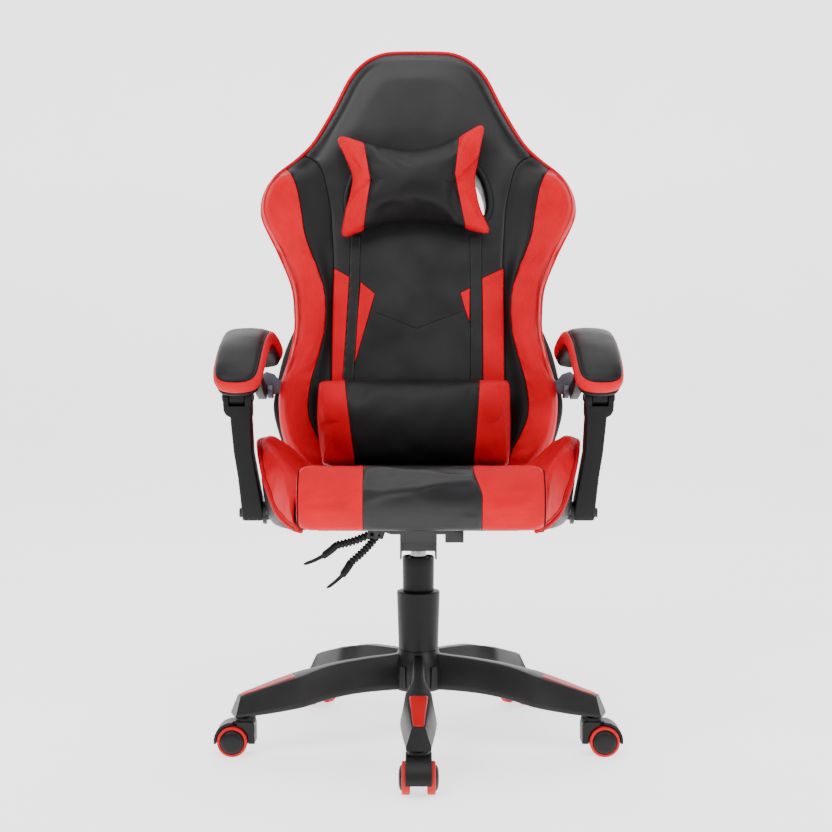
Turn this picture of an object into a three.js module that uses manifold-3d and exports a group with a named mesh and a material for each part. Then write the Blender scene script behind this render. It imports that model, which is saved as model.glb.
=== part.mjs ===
// Gaming chair: five-star swivel base, gas lift, bucket seat, reclining back with wings,
// armrests that follow the back on a parallelogram, head pillow and lumbar pillow.
// Millimetres, +Z up, the chair faces -Y, floor at Z = 0, column axis at X = Y = 0.
import * as THREE from 'three';
import { mergeVertices } from 'three/addons/utils/BufferGeometryUtils.js';
import Module from 'manifold-3d';

const wasm = await Module();
wasm.setup();

// ---- driving dimensions -------------------------------------------------------------
const GAP = 0.3;                 // clearance between neighbouring pieces
const ARMS = 5;
const ARM_TOP = [[30, 152], [44, 149], [158, 139], [217, 125], [310, 98], [320, 72]];   // r, z
const ARM_UNDER = [[30, 91], [44, 91], [158, 85], [217, 75.5], [310, 65], [320, 65]];   // r, z
const ARM_HALF = [[30, 8, 15], [44, 8, 15], [158, 10, 21], [217, 20, 29], [310, 10, 20], [320, 11, 18.5]];
const HUB_R = 44, HUB_TOP = 156.5, HUB_BOTTOM = 88;
const INLAY = { from: 219, to: 308, wide: 15, narrow: 8, proud: 1, corner: 4 };
const CASTER_R = 300;            // radius of the caster stems
const STEM_R = 5.2, STEM_TOP = 92;
const WHEEL_R = 25, WHEEL_SIDES = 20, TRAIL = 20, AXLE_R = 4;
const HOOD = { half: 20, web: 11, fender: 31, pocket: 27, back: -16.5, top: 57, low: 20.5, web_low: 14 };
const COLLAR_R = 17, COLLAR_TOP = 62.5;
const COLUMN_R = 25, COLUMN_IN = 22.4, COLUMN_LOW = 84, COLUMN_FLOOR = 91, COLUMN_TOP = 314;
const LOWER_COVER = { low: 157, top: 257, r_low: 33.5, r_top: 36.8, wall: 3 };
const UPPER_COVER = { low: 257.4, top: 316, r_low: 26.5, r_top: 27.2 };
const SPRING_R = 14, SPRING_LOW = 112, SPRING_TOP = 346, ROD_R = 5, ROD_LOW = 78, ROD_TOP = 250;
const BUTTON_TOP = 353;
const BUSH_LOW = 215, BEARING = { r: 16, top: 100 }, CLIP = { r: 9, low: 81, top: 83.5 };
const CHANNEL = { half: 30.5, low: 327, flange: 322, end: 88, arch: 52, top: 367 };
const PAN = { half_low: 45, half_top: 90, low: 366, edge: 381, top: 387.5, front: -112, rear: 108,
  riser: 60 };
const FRAME = { half: 160, front: -232, rear: 128, bar: 24, low: 396, top: 410, cross: 70 };
const LUG = { in: 101, out: 109, end: 219, low: 386, top: 414 };
const PIVOT_D = [205, 400];      // recline pin, (y, z)
const PIVOT_A = [-75, 398];      // foot of the armrest upright, (y, z)
const PIVOT_B = [-115, 590];     // head of the armrest upright, (y, z)
const PIVOT_C = [165, 592];      // rear link of the armrest, (y, z)
const LEAN = 8 * Math.PI / 180;  // lean of the upright back
const BACK_FOOT = [205, 430];    // origin of the back's own frame, (y, z)
const BACK = { front: -60, wing: -72, pan: -19, shell: -18.6, rear: 35.3 };
const BACK_OUTLINE = [           // half width, height up the back
  [0, 797], [68, 794], [98, 778], [126, 747], [157, 686], [193, 625], [223, 594], [264, 563],
  [284, 533], [291, 503], [286, 472], [257, 412], [233, 352], [227, 300], [228, 262], [237, 220],
  [249, 177], [254, 140], [250, 92], [237, 50], [214, 17], [196, 10]];
const SHELL_EXTRA = [[236, 267], [250, 224], [263, 165], [267, 130], [260, 95], [245, 55], [216, 20]];
const SEAM = [[198, 592], [177, 568], [162, 499], [155, 391], [156, 344], [159, 179], [157, 10]];
const SLOT = { x: 104, u: 527, half: 26, tall: 55, tilt: 0.28 };
const SIDES = [['right', -1], ['left', 1]];   // the sitter's right is at -X

// ---- geometry helpers ---------------------------------------------------------------
function outward(geometry) {
  const g = geometry.index ? geometry.toNonIndexed() : geometry;
  const p = g.attributes.position;
  const a = new THREE.Vector3(), b = new THREE.Vector3(), c = new THREE.Vector3();
  let volume = 0;
  for (let i = 0; i < p.count; i += 3) {
    a.fromBufferAttribute(p, i); b.fromBufferAttribute(p, i + 1); c.fromBufferAttribute(p, i + 2);
    volume += a.dot(b.cross(c));
  }
  if (volume < 0) {
    for (let i = 0; i < p.count; i += 3) {
      b.fromBufferAttribute(p, i + 1); c.fromBufferAttribute(p, i + 2);
      p.setXYZ(i + 1, c.x, c.y, c.z); p.setXYZ(i + 2, b.x, b.y, b.z);
    }
  }
  for (const name of ['normal', 'uv']) if (g.attributes[name]) g.deleteAttribute(name);
  return mergeVertices(g, 1e-4);
}

function solid(geometry) {
  const g = outward(geometry.clone());
  return new wasm.Manifold(new wasm.Mesh({
    numProp: 3,
    vertProperties: new Float32Array(g.attributes.position.array),
    triVerts: new Uint32Array(g.index.array),
  }));
}

function fromSolid(manifold) {
  const m = manifold.getMesh();
  const g = new THREE.BufferGeometry();
  g.setAttribute('position', new THREE.BufferAttribute(new Float32Array(m.vertProperties), 3));
  g.setIndex(new THREE.BufferAttribute(new Uint32Array(m.triVerts), 1));
  return g;
}

const join = (...parts) => fromSolid(parts.map(solid).reduce((a, b) => a.add(b)));
const cut = (body, ...tools) => fromSolid(tools.map(solid).reduce((a, b) => a.subtract(b), solid(body)));

function turned(geometry, angle) { return geometry.clone().rotateZ(angle); }
function mirrored(geometry) { return outward(geometry.clone().scale(-1, 1, 1)); }

function block(x0, x1, y0, y1, z0, z1) {
  return new THREE.BoxGeometry(x1 - x0, y1 - y0, z1 - z0)
    .translate((x0 + x1) / 2, (y0 + y1) / 2, (z0 + z1) / 2);
}

// Outline [[a, b], ...] extruded: along 'x' it is (y, z), along 'y' it is (x, z), along 'z' it is (x, y).
function prism(axis, outline, lo, hi, holes = []) {
  const toPoints = (list) => list.map(([a, b]) => new THREE.Vector2(a, b));
  const shape = new THREE.Shape(toPoints(outline));
  for (const hole of holes) shape.holes.push(new THREE.Path(toPoints(hole)));
  const g = new THREE.ExtrudeGeometry(shape, { depth: hi - lo, bevelEnabled: false });
  const basis = new THREE.Matrix4();
  const X = new THREE.Vector3(1, 0, 0), Y = new THREE.Vector3(0, 1, 0), Z = new THREE.Vector3(0, 0, 1);
  if (axis === 'x') g.applyMatrix4(basis.makeBasis(Y, Z, X)).translate(lo, 0, 0);
  if (axis === 'y') g.applyMatrix4(basis.makeBasis(X, Z, Y.negate())).translate(0, hi, 0);
  if (axis === 'z') g.translate(0, 0, lo);
  return g;
}

function rod(axis, radius, at, lo, hi, sides = 16) {
  const g = new THREE.CylinderGeometry(radius, radius, hi - lo, sides);
  if (axis === 'x') return g.rotateZ(Math.PI / 2).translate((lo + hi) / 2, at[0], at[1]);
  if (axis === 'y') return g.translate(at[0], (lo + hi) / 2, at[1]);
  return g.rotateX(Math.PI / 2).translate(at[0], at[1], (lo + hi) / 2);
}

// Profile [[radius, height], ...] turned about Z; it starts and ends on the axis or closes on itself.
function lathe(profile, sides) {
  const closed = profile[0][0] > 0 ? [...profile, profile[0]] : profile;
  const points = closed.map(([r, h]) => new THREE.Vector2(r, h));
  return new THREE.LatheGeometry(points, sides).rotateX(Math.PI / 2);
}

function tube(outer, inner, low, top, sides = 24) {
  return lathe([[inner, low], [outer, low], [outer, top], [inner, top]], sides);
}

// Skin over rings of equal point counts, closed at both ends.
function loft(rings) {
  const n = rings[0].length, flat = rings.flat(2), index = [];
  for (let k = 0; k + 1 < rings.length; k++) {
    for (let i = 0; i < n; i++) {
      const j = (i + 1) % n, a = k * n + i, b = k * n + j;
      index.push(a, b, b + n, a, b + n, a + n);
    }
  }
  const last = (rings.length - 1) * n;
  for (let i = 1; i + 1 < n; i++) index.push(0, i + 1, i, last, last + i, last + i + 1);
  const g = new THREE.BufferGeometry();
  g.setAttribute('position', new THREE.BufferAttribute(new Float32Array(flat), 3));
  g.setIndex(index);
  return g;
}

function ellipse(cx, cy, rx, ry, tilt = 0, sides = 16) {
  return Array.from({ length: sides }, (_, i) => {
    const t = 2 * Math.PI * i / sides, a = rx * Math.cos(t), b = ry * Math.sin(t);
    return [cx + a * Math.cos(tilt) - b * Math.sin(tilt), cy + a * Math.sin(tilt) + b * Math.cos(tilt)];
  });
}

const rect = (a0, a1, b0, b1) => [[a0, b0], [a1, b0], [a1, b1], [a0, b1]];
const bothSides = (half) => [...half, ...half.filter(([x]) => x > 0).reverse().map(([x, u]) => [-x, u])];

// ---- base ---------------------------------------------------------------------------
function armSolid() {
  const rings = ARM_TOP.map(([r, top], i) => {
    const [, narrow, wide] = ARM_HALF[i], low = ARM_UNDER[i][1];
    return [[-wide, -r, low], [wide, -r, low], [wide, -r, low + 8],
      [narrow, -r, top], [-narrow, -r, top], [-wide, -r, low + 8]];
  });
  return loft(rings);
}

function inlaySolid() {
  const { from: a, to: b, wide: w, narrow: n, proud, corner: c } = INLAY;
  const plan = [[-n + c, -b], [n - c, -b], [n, -b + c], [w, -a - c], [w - c, -a], [-w + c, -a],
    [-w, -a - c], [-n, -b + c]];
  const [r0, z0] = ARM_TOP[3], [r1, z1] = ARM_TOP[4];
  const layer = (lift) => plan.map(([x, y]) => [x, y, z0 + (z1 - z0) * (-y - r0) / (r1 - r0) + lift]);
  return loft([layer(-3), layer(proud)]);
}

function spread(geometry) {
  return Array.from({ length: ARMS }, (_, i) => turned(geometry, 2 * Math.PI * i / ARMS));
}

function starBase() {
  const hub = lathe([[0, HUB_BOTTOM], [HUB_R - 4, HUB_BOTTOM], [HUB_R, HUB_BOTTOM + 4], [HUB_R - 6, 150],
    [HUB_R - 11, HUB_TOP], [0, HUB_TOP]], 30);
  const socket = rod('z', STEM_R + GAP, [0, -CASTER_R], 50, STEM_TOP + 1, 12);
  return cut(join(hub, ...spread(armSolid()), ...spread(inlaySolid())),
    rod('z', COLUMN_R + GAP, [0, 0], 60, 200, 30), ...spread(socket));
}

function outerColumn() {
  return lathe([[COLUMN_R, COLUMN_LOW], [COLUMN_R, COLUMN_TOP], [COLUMN_IN, COLUMN_TOP],
    [COLUMN_IN, COLUMN_FLOOR], [ROD_R + 0.6, COLUMN_FLOOR], [ROD_R + 0.6, COLUMN_LOW]], 30);
}

function lowerCover() {
  const { low, top, r_low, r_top, wall } = LOWER_COVER, neck = COLUMN_R + GAP;
  return lathe([[r_low - wall, low], [r_low, low], [r_top, top - 3], [r_top - 3, top], [neck, top],
    [neck, top - 4], [r_top - wall - 3, top - 4]], 30);
}

function upperCover() {
  const { low, top, r_low, r_top } = UPPER_COVER, bore = COLUMN_R + GAP;
  return lathe([[bore, low], [r_low, low], [r_top, top - 2], [r_top - 1, top], [bore, top]], 30);
}

// ---- casters ------------------------------------------------------------------------
// Built at the origin: stem on the Z axis, trailing towards -Y, wheels on an axle along X.
function casterHood() {
  const { half, web, fender, pocket, back, top, low, web_low } = HOOD, c = [-TRAIL, WHEEL_R];
  const arc = Array.from({ length: 9 }, (_, i) => {
    const t = Math.PI / 2 + (Math.PI / 2 + 0.145) * i / 8;
    return [c[0] + fender * Math.cos(t), c[1] + fender * Math.sin(t)];
  });
  const outline = [[-back, low], [-back, top - 6], [-back - 5, top], [4 - TRAIL / 2, top], ...arc,
    [c[0] - 14, low], [c[0] - 9, web_low], [c[0] + 9, web_low], [c[0] + 14, low]];
  const bodyBlock = prism('x', outline.reverse(), -half, half);
  const pockets = [-1, 1].map((s) => rod('x', pocket, c, s > 0 ? web : -60, s > 0 ? 60 : -web, 24));
  const collar = rod('z', COLLAR_R - 1, [0, 0], top - 4, COLLAR_TOP, 20);
  const stem = rod('z', STEM_R, [0, 0], top - 4, STEM_TOP, 12);
  return cut(join(bodyBlock, collar, stem), ...pockets, rod('x', AXLE_R + GAP, c, -30, 30, 12));
}

const casterAxle = () => rod('x', AXLE_R, [-TRAIL, WHEEL_R], -24, 24, 12);

function casterWheel(side) {
  const rim = WHEEL_R / Math.cos(Math.PI / WHEEL_SIDES);
  const g = lathe([[0, 25.5], [AXLE_R + GAP, 25.5], [AXLE_R + GAP, 12.5], [rim - 1, 12.5], [rim, 14],
    [rim, 24.5], [19.3, 25.4], [15, 29], [0, 30.5]], WHEEL_SIDES);
  return g.rotateZ(Math.PI / WHEEL_SIDES).rotateY(side * Math.PI / 2).translate(0, -TRAIL, WHEEL_R);
}

// The caster's own trail direction is turned by `heading`, then it is set at the end of arm `arm`.
const HEADINGS = [0, 90, 144, 216, 270].map((d) => d * Math.PI / 180);
function placeCaster(geometry, arm) {
  const t = 2 * Math.PI * arm / ARMS;
  return outward(turned(geometry, HEADINGS[arm]).translate(
    CASTER_R * Math.sin(t), -CASTER_R * Math.cos(t), 0));
}

// ---- gas lift and mechanism ---------------------------------------------------------
function gasSpring() {
  return cut(lathe([[0, SPRING_LOW], [SPRING_R, SPRING_LOW], [SPRING_R, 318], [SPRING_R - 1.2, SPRING_TOP],
    [0, SPRING_TOP]], 24), rod('z', ROD_R + 0.6, [0, 0], SPRING_LOW - 5, ROD_TOP + 4, 16));
}

const LEVERS = {
  height: { y: -60, root: [-77, 362], grip: [-136, 342], tip: [-191, 310] },
  recline: { y: -20, root: [-68, 356], grip: [-114, 308], tip: [-155, 264] },
};
const LEVER = { barrel: 7, pin: 3, half: 6, lug: 7, rod: 4, sleeve: 6.5, paddle: 9, thick: 4 };

function leverLugs({ y, root }) {
  const lug = (lo, hi) => prism('y', [[root[0] - 8, root[1] - 6], [root[0] + 8, root[1] - 8],
    [root[0] + 20, PAN.top - 4], [root[0] - 6, PAN.top - 6]], lo, hi);
  const near = LEVER.half + GAP, far = near + LEVER.lug;
  return [lug(y - far, y - near), lug(y + near, y + far)];
}

function mechanismHousing() {
  const { half, low, flange, end, arch, top } = CHANNEL;
  const side = [[-end, flange], [-arch - 8, flange], [-arch, low], [arch, low], [arch + 8, flange],
    [end, flange], [end, top], [-end, top]];
  const pan = [[-PAN.half_low, PAN.low], [PAN.half_low, PAN.low], [PAN.half_top, PAN.edge],
    [PAN.half_top, PAN.top], [-PAN.half_top, PAN.top], [-PAN.half_top, PAN.edge]];
  const lugs = Object.values(LEVERS).flatMap(leverLugs);
  const pins = Object.values(LEVERS)
    .map(({ y, root }) => rod('y', LEVER.pin + GAP, root, y - 40, y + 40, 10));
  const nub = block(44, 74, -108, -84, 352, 370);
  const trough = block(-half + 3, half - 3, -end - 5, -24, flange - 5, 350);
  const rearTrough = block(-half + 3, half - 3, 24, end + 5, flange - 5, 350);
  const riser = block(-PAN.riser, PAN.riser, FRAME.cross - 12, FRAME.cross + 12, PAN.top - 2,
    FRAME.low - GAP);
  return cut(join(prism('x', side, -half, half), prism('y', pan, PAN.front, PAN.rear), nub, riser, ...lugs),
    trough, rearTrough, rod('z', SPRING_R + GAP, [0, 0], 300, SPRING_TOP + GAP, 24),
    rod('z', 5, [0, 0], 340, 358, 12), ...pins);
}

function lever({ y, root, grip, tip }) {
  const at = ([x, z]) => new THREE.Vector3(x, y, z);
  const stick = (a, b, radius, sides = 10) => {
    const path = new THREE.LineCurve3(at(a), at(b));
    const shape = new THREE.Shape(ellipse(0, 0, radius, radius, 0, sides)
      .map(([p, q]) => new THREE.Vector2(p, q)));
    return new THREE.ExtrudeGeometry(shape, { steps: 1, bevelEnabled: false, extrudePath: path });
  };
  const mix = (a, b, t) => [a[0] + (b[0] - a[0]) * t, a[1] + (b[1] - a[1]) * t];
  const along = new THREE.Vector2(tip[0] - grip[0], tip[1] - grip[1]).normalize();
  const [px, pz] = [-along.y * LEVER.thick, along.x * LEVER.thick];
  const blade = prism('y', [[grip[0] + px, grip[1] + pz], [grip[0] - px, grip[1] - pz],
    [tip[0] - px / 2, tip[1] - pz / 2], [tip[0] + px / 2, tip[1] + pz / 2]].reverse(),
    y - LEVER.paddle, y + LEVER.paddle);
  return join(rod('y', LEVER.barrel, root, y - LEVER.half, y + LEVER.half, 14),
    rod('y', LEVER.pin, root, y - LEVER.half - 6, y + LEVER.half + 6, 10),
    stick(root, grip, LEVER.rod), stick(mix(root, grip, 0.3), grip, LEVER.sleeve), blade);
}

// ---- seat ---------------------------------------------------------------------------
function seatFrame() {
  const { half, front, rear, bar, low, top, cross } = FRAME, inner = half - bar;
  const bays = [[front + bar, -cross - bar / 2], [-cross + bar / 2, cross - bar / 2],
    [cross + bar / 2, rear - bar]].map(([a, b]) => rect(-inner, inner, a, b).reverse());
  const ring = prism('z', rect(-half, half, front, rear), low, top, bays);
  const lugs = [-1, 1].map((s) => prism('x', [[rear - 10, LUG.low + 2], [LUG.end - 8, LUG.low],
    [LUG.end, LUG.low + 8], [LUG.end, LUG.top - 6], [LUG.end - 8, LUG.top], [rear - 10, FRAME.top]],
    s > 0 ? LUG.in : -LUG.out, s > 0 ? LUG.out : -LUG.in));
  return cut(join(ring, ...lugs), rod('x', 6 + GAP, PIVOT_D, -150, 150, 16));
}

const STRAPS = 6;
function seatWebbing() {
  const step = (FRAME.rear - FRAME.front - 60) / (STRAPS - 1), low = FRAME.top + GAP, top = FRAME.top + 1.6;
  const across = Array.from({ length: STRAPS }, (_, i) => {
    const y = FRAME.front + 30 + i * step;
    return block(-FRAME.half + 4, FRAME.half - 4, y - 15, y + 15, low, top);
  });
  const along = [-70, 70].map((x) => block(x - 15, x + 15, FRAME.front + 4, FRAME.rear - 4, low, top));
  return join(...across, ...along);
}

const SEAT = { low: 412, crown: 462, half: 166, rear: 122, roll_half: 192, roll_front: -270, roll_low: 388 };
function seatCushion() {
  const { low, crown, half, rear, roll_half, roll_front, roll_low } = SEAT, back = FRAME.front - 2;
  const pad = [[back + 4, low], [rear, low], [rear, crown - 8], [rear - 20, crown], [-120, crown],
    [back + 4, 478]];
  const roll = [[back, roll_low], [back, 482], [-246, 484], [-260, 474], [roll_front, 452], [roll_front, 408],
    [-263, 394], [-252, roll_low]];
  return join(prism('x', pad, -half, half), prism('x', [...roll].reverse(), -roll_half, roll_half),
    prism('x', rect(back - 2, back + 8, low, 478), -half, half));
}

// Stations of the seat bolster: y, bottom z, outer bottom x, tip x, tip z, inner top z.
const BOLSTER = [[-233, 384, 188, 196, 424, 430], [-205, 386, 206, 216, 454, 460],
  [-165, 386, 224, 238, 482, 463], [-112, 388, 238, 262, 508, 464], [-98, 398, 240, 264, 510, 464],
  [-60, 404, 244, 270, 517, 464], [40, 404, 244, 268, 514, 463], [120, 404, 240, 262, 502, 460]];
function seatBolster() {
  const inner = SEAT.half + GAP + 0.3;
  return loft(BOLSTER.map(([y, low, out, tip, top, shelf]) => [[inner, y, low], [out, y, low],
    [tip, y, top - 6], [tip - 5, y, top], [tip - 22, y, top + 1], [inner + 20, y, shelf + 8],
    [inner, y, shelf]]));
}

function dustCover() {
  const hole = rect(-PAN.half_top - 2, PAN.half_top + 2, PAN.front - 2, PAN.rear + 2).reverse();
  return prism('z', rect(-FRAME.half + 4, FRAME.half - 4, FRAME.front + 4, FRAME.rear - 4), 385.5,
    ARM_PLATE.low - GAP, [hole]);
}

const reclinePin = () => rod('x', 6, PIVOT_D, -114, 114, 16);

// ---- armrests -----------------------------------------------------------------------
const ARM_PLATE = { low: 388, top: 395.6, half: 19, reach: 256.5, ear: 6, stud: 5 };
function armCrossBracket() {
  const { low, top, half, reach, ear, stud } = ARM_PLATE, [y] = PIVOT_A;
  const end = (s) => {
    const span = (a, b) => (s > 0 ? [a, b] : [-b, -a]);
    return [prism('x', ellipse(...PIVOT_A, half, half), ...span(reach - ear, reach)),
      rod('x', stud, PIVOT_A, ...span(reach - 1, 292), 12),
      rod('x', stud + 3, PIVOT_A, ...span(291.4, 296), 12)];
  };
  return join(block(-reach, reach, y - half, y + half, low, top), ...end(-1), ...end(1));
}

const YOKE = { out: 319.5, prong_out: 309.5, prong_in: 282, in: 272, low: 556, r: 15 };
function armUpright() {
  const [ay, az] = PIVOT_A, [by, bz] = PIVOT_B, lean = (z) => ay + (by - ay) * (z - az) / (bz - az);
  const ring = (z, x0, x1, d) => [[x0, lean(z) - d, z], [x1, lean(z) - d, z], [x1, lean(z) + d, z],
    [x0, lean(z) + d, z]];
  const post = loft([ring(az - 12, 258, 291, 17), ring(az + 6, 258, 291, 22), ring(460, 264.5, 297, 21),
    ring(515, 272, 306, 20), ring(YOKE.low, YOKE.in, YOKE.out, 18),
    ring(YOKE.low + 14, YOKE.in, YOKE.out, 17)]);
  const prongs = [[YOKE.in, YOKE.prong_in], [YOKE.prong_out, YOKE.out]].map(([lo, hi]) => join(
    prism('x', ellipse(by, bz, YOKE.r, YOKE.r, 0, 16), lo, hi),
    prism('x', [[lean(570) - 15, 566], [lean(570) + 15, 566], [by + 15, bz], [by - 15, bz]], lo, hi)));
  return cut(join(post, ...prongs), rod('x', 5 + GAP, PIVOT_A, 250, 300, 12),
    rod('x', 5 + GAP, PIVOT_B, 260, 330, 12));
}

// Armrest pad stations: y, crown z, half width, centre x.
const PAD = [[-240, 612, 24, 282], [-228, 630, 33, 282], [-200, 650, 38, 282], [-150, 676, 39, 282],
  [-100, 692, 40, 282], [-50, 701, 40, 282], [0, 702, 40, 282], [40, 693, 40, 282], [80, 672, 40, 281],
  [104, 652, 36, 280]];
const PAD_THICK = 28;
function armPad() {
  return loft(PAD.map(([y, z, w, x]) => [[-w + 4, -PAD_THICK], [w - 4, -PAD_THICK],
    [w, -PAD_THICK + 6], [w, -12], [w * 0.75, -3.5], [0, 0], [-w * 0.75, -3.5], [-w, -12],
    [-w, -PAD_THICK + 6]].map(([a, b]) => [x + a, y, z + b])));
}

function armBase() {
  const lip = loft(PAD.map(([y, z, w, x]) => {
    const top = z - PAD_THICK - GAP * 1.5, v = w - 5;
    return [[x - v + 4, y, top - 9], [x + v - 4, y, top - 9], [x + v, y, top], [x - v, y, top]];
  }));
  const [by, bz] = PIVOT_B, [cy, cz] = PIVOT_C;
  const lug = prism('x', [[by - 20, 655], [by - 13, bz], [by - 9, bz - 9], [by, bz - 13], [by + 9, bz - 9],
    [by + 13, bz], [by + 32, 664]].reverse(), YOKE.prong_in + 0.6, YOKE.prong_out - 0.6);
  const bar = prism('x', [[-10, 662], [62, 645], [108, 618], [cy, cz + 13], [cy + 11, cz + 8], [cy + 14, cz],
    [cy + 10, cz - 10], [cy, cz - 13], [104, 590], [50, 622], [-20, 652]].reverse(), 274.5, 290);
  return cut(join(lip, lug, bar), armPad().translate(0, 0, -1.5 * GAP),
    rod('x', 5 + GAP, PIVOT_B, 260, 330, 12), rod('x', 6 + GAP, PIVOT_C, 260, 300, 12));
}

const armBolt = () => join(rod('x', 5, PIVOT_B, YOKE.in - 3, YOKE.out + 2, 12),
  rod('x', 8, PIVOT_B, YOKE.out + GAP, YOKE.out + 4, 6), rod('x', 8, PIVOT_B, YOKE.in - 4, YOKE.in - GAP, 6));

// ---- back ---------------------------------------------------------------------------
// Built in its own frame, (x, depth, height), then leaned back and set on its foot.
function setBack(geometry) {
  return geometry.clone().rotateX(-LEAN).translate(0, BACK_FOOT[0], BACK_FOOT[1]);
}

function backLocal([y, z]) {
  const dy = y - BACK_FOOT[0], dz = z - BACK_FOOT[1];
  return [dy * Math.cos(LEAN) - dz * Math.sin(LEAN), dy * Math.sin(LEAN) + dz * Math.cos(LEAN)];
}

const strapSlots = (grow) => [-1, 1].map((s) => prism('y',
  ellipse(s * SLOT.x, SLOT.u, SLOT.half + grow, SLOT.tall + grow, s * SLOT.tilt, 18), -90, 60));

const BACK_FRAME = { half: 156, bar: 14, low: 60, top: 628, cross: 430, front: -18.2, rear: -7,
  leg_in: 66, leg_out: 94 };
function backFramePlate(grow) {
  const { half, bar, low, top, cross, front, rear } = BACK_FRAME, g = grow;
  const windows = [[low + bar, cross - bar / 2], [cross + bar / 2, top - bar]].map(([a, b]) => rect(
    -half + bar + g, half - bar - g, a + g, b - g).reverse());
  return prism('y', rect(-half - g, half + g, low - g, top + g), front - 4 * g, rear + g, windows);
}

function backFrameLegs(grow) {
  const { low, bar, front, rear, leg_in, leg_out } = BACK_FRAME, g = grow;
  return [-1, 1].map((s) => block(...(s > 0 ? [leg_in - g, leg_out + g] : [-leg_out - g, -leg_in + g]),
    front - 4 * g, rear + g, -30 - g, low + bar));
}

function backFrame() {
  const hub = rod('x', 15, backLocal(PIVOT_D), -LUG.in + 0.6, LUG.in - 0.6, 18);
  const bore = rod('x', 6 + GAP, backLocal(PIVOT_D), -150, 150, 16);
  return setBack(cut(join(backFramePlate(0), ...backFrameLegs(0), hub), bore));
}

function backShell() {
  const outline = [...BACK_OUTLINE.slice(0, 14), ...SHELL_EXTRA];
  const plate = prism('y', bothSides(outline), BACK.shell, BACK.rear);
  return setBack(cut(plate, backFramePlate(GAP), ...backFrameLegs(GAP), ...strapSlots(0)));
}

const TOP_OUTLINE = BACK_OUTLINE.slice(0, 6);
function backCushion() {
  const outline = bothSides([...TOP_OUTLINE, ...SEAM]);
  return setBack(cut(prism('y', outline, BACK.front, BACK.pan), ...strapSlots(0)));
}

function backWing() {
  const seam = SEAM.map(([x, u]) => [x + 1.5, u - 0.2]);
  const plan = [...seam.reverse(), [206, 592], ...BACK_OUTLINE.slice(7)];
  return setBack(prism('y', plan, BACK.wing, BACK.pan));
}

function armLinkBracket() {
  const [depth, height] = backLocal(PIVOT_C);
  const plate = block(268, 273, depth - 14, 14, height - 15, height + 15);
  return setBack(join(plate, rod('x', 6, [depth, height], 270, 292, 14)));
}

// ---- pillows ------------------------------------------------------------------------
function pillow(outline, centre, front, rear, inset) {
  const shrink = (k, y) => outline
    .map(([x, u]) => [centre[0] + (x - centre[0]) * k, y, centre[1] + (u - centre[1]) * k]);
  return setBack(loft([shrink(inset, rear), shrink(1, rear - (rear - front) * 0.35),
    shrink(1, rear - (rear - front) * 0.6), shrink(inset, front)]));
}

const HEAD = [[-143, 612], [-60, 603], [0, 588], [60, 612], [117, 637], [108, 590], [100, 537], [112, 490],
  [125, 438], [60, 448], [-7, 456], [-70, 446], [-135, 432], [-128, 480], [-120, 537], [-132, 580]];
const HEAD_CENTRE = [-6, 530];
const LUMBAR = [[-170, 160], [-80, 170], [-6, 172], [70, 170], [154, 162], [160, 100], [155, 44], [70, 38],
  [-6, 37], [-80, 38], [-166, 44], [-176, 100]];
const LUMBAR_CENTRE = [-8, 100];
const headPillow = () => pillow(HEAD, HEAD_CENTRE, -122, BACK.front - 1, 0.86);
const lumbarPillow = () => pillow(LUMBAR, LUMBAR_CENTRE, -134, BACK.wing - 1, 0.88);

const STRAP = { thick: 4, low: 512, top: 537 };
function headStrap() {
  const { thick, low, top } = STRAP, behind = BACK.rear + 2 * GAP, half = SLOT.x + thick / 2;
  const legs = [-SLOT.x, SLOT.x].map((x) => block(x - thick / 2, x + thick / 2, BACK.front - 2 * GAP,
    behind + thick / 2, low, top));
  return setBack(join(...legs, block(-half, half, behind, behind + thick / 2, low, top)));
}

// ---- assembly -----------------------------------------------------------------------
const COLOURS = {
  black_plastic: [0x2a2829, 0.55, 0], steel: [0x8d8f92, 0.35, 1],
  chrome: [0xd8d8da, 0.12, 1], painted_steel: [0x1d1d1e, 0.45, 0.3], black_leather: [0x2b2a2c, 0.5, 0],
  red_leather: [0xe02028, 0.45, 0], webbing: [0x202020, 0.9, 0], soft_grip: [0x232223, 0.7, 0],
  caster_red: [0xd04034, 0.5, 0],
};
const materials = Object.fromEntries(Object.entries(COLOURS).map(([name, [color, roughness, metalness]]) => {
  const m = new THREE.MeshStandardMaterial({ color, roughness, metalness });
  m.name = name;
  return [name, m];
}));

const group = new THREE.Group();
group.name = 'gaming_chair';
function add(name, slot, geometry) {
  const g = outward(geometry);
  g.computeVertexNormals();
  const mesh = new THREE.Mesh(g, materials[slot]);
  mesh.name = name;
  group.add(mesh);
}

add('star_base', 'black_plastic', starBase());
add('outer_column', 'painted_steel', outerColumn());
add('guide_bush', 'soft_grip', tube(COLUMN_IN - GAP, SPRING_R + GAP, BUSH_LOW, COLUMN_TOP - 1));
add('column_cover_lower', 'black_plastic', lowerCover());
add('column_cover_upper', 'black_plastic', upperCover());
add('thrust_bearing', 'steel', tube(BEARING.r, ROD_R + GAP, COLUMN_FLOOR + GAP, BEARING.top));
add('piston_rod', 'steel', rod('z', ROD_R, [0, 0], ROD_LOW, ROD_TOP, 16));
add('retaining_clip', 'steel', tube(CLIP.r, ROD_R + GAP, CLIP.low, CLIP.top, 16));
for (let arm = 0; arm < ARMS; arm++) {
  add(`caster_${arm + 1}_hood`, 'black_plastic', placeCaster(casterHood(), arm));
  add(`caster_${arm + 1}_axle`, 'steel', placeCaster(casterAxle(), arm));
  add(`caster_${arm + 1}_wheel_a`, 'caster_red', placeCaster(casterWheel(-1), arm));
  add(`caster_${arm + 1}_wheel_b`, 'caster_red', placeCaster(casterWheel(1), arm));
}
add('gas_spring', 'chrome', gasSpring());
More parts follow.
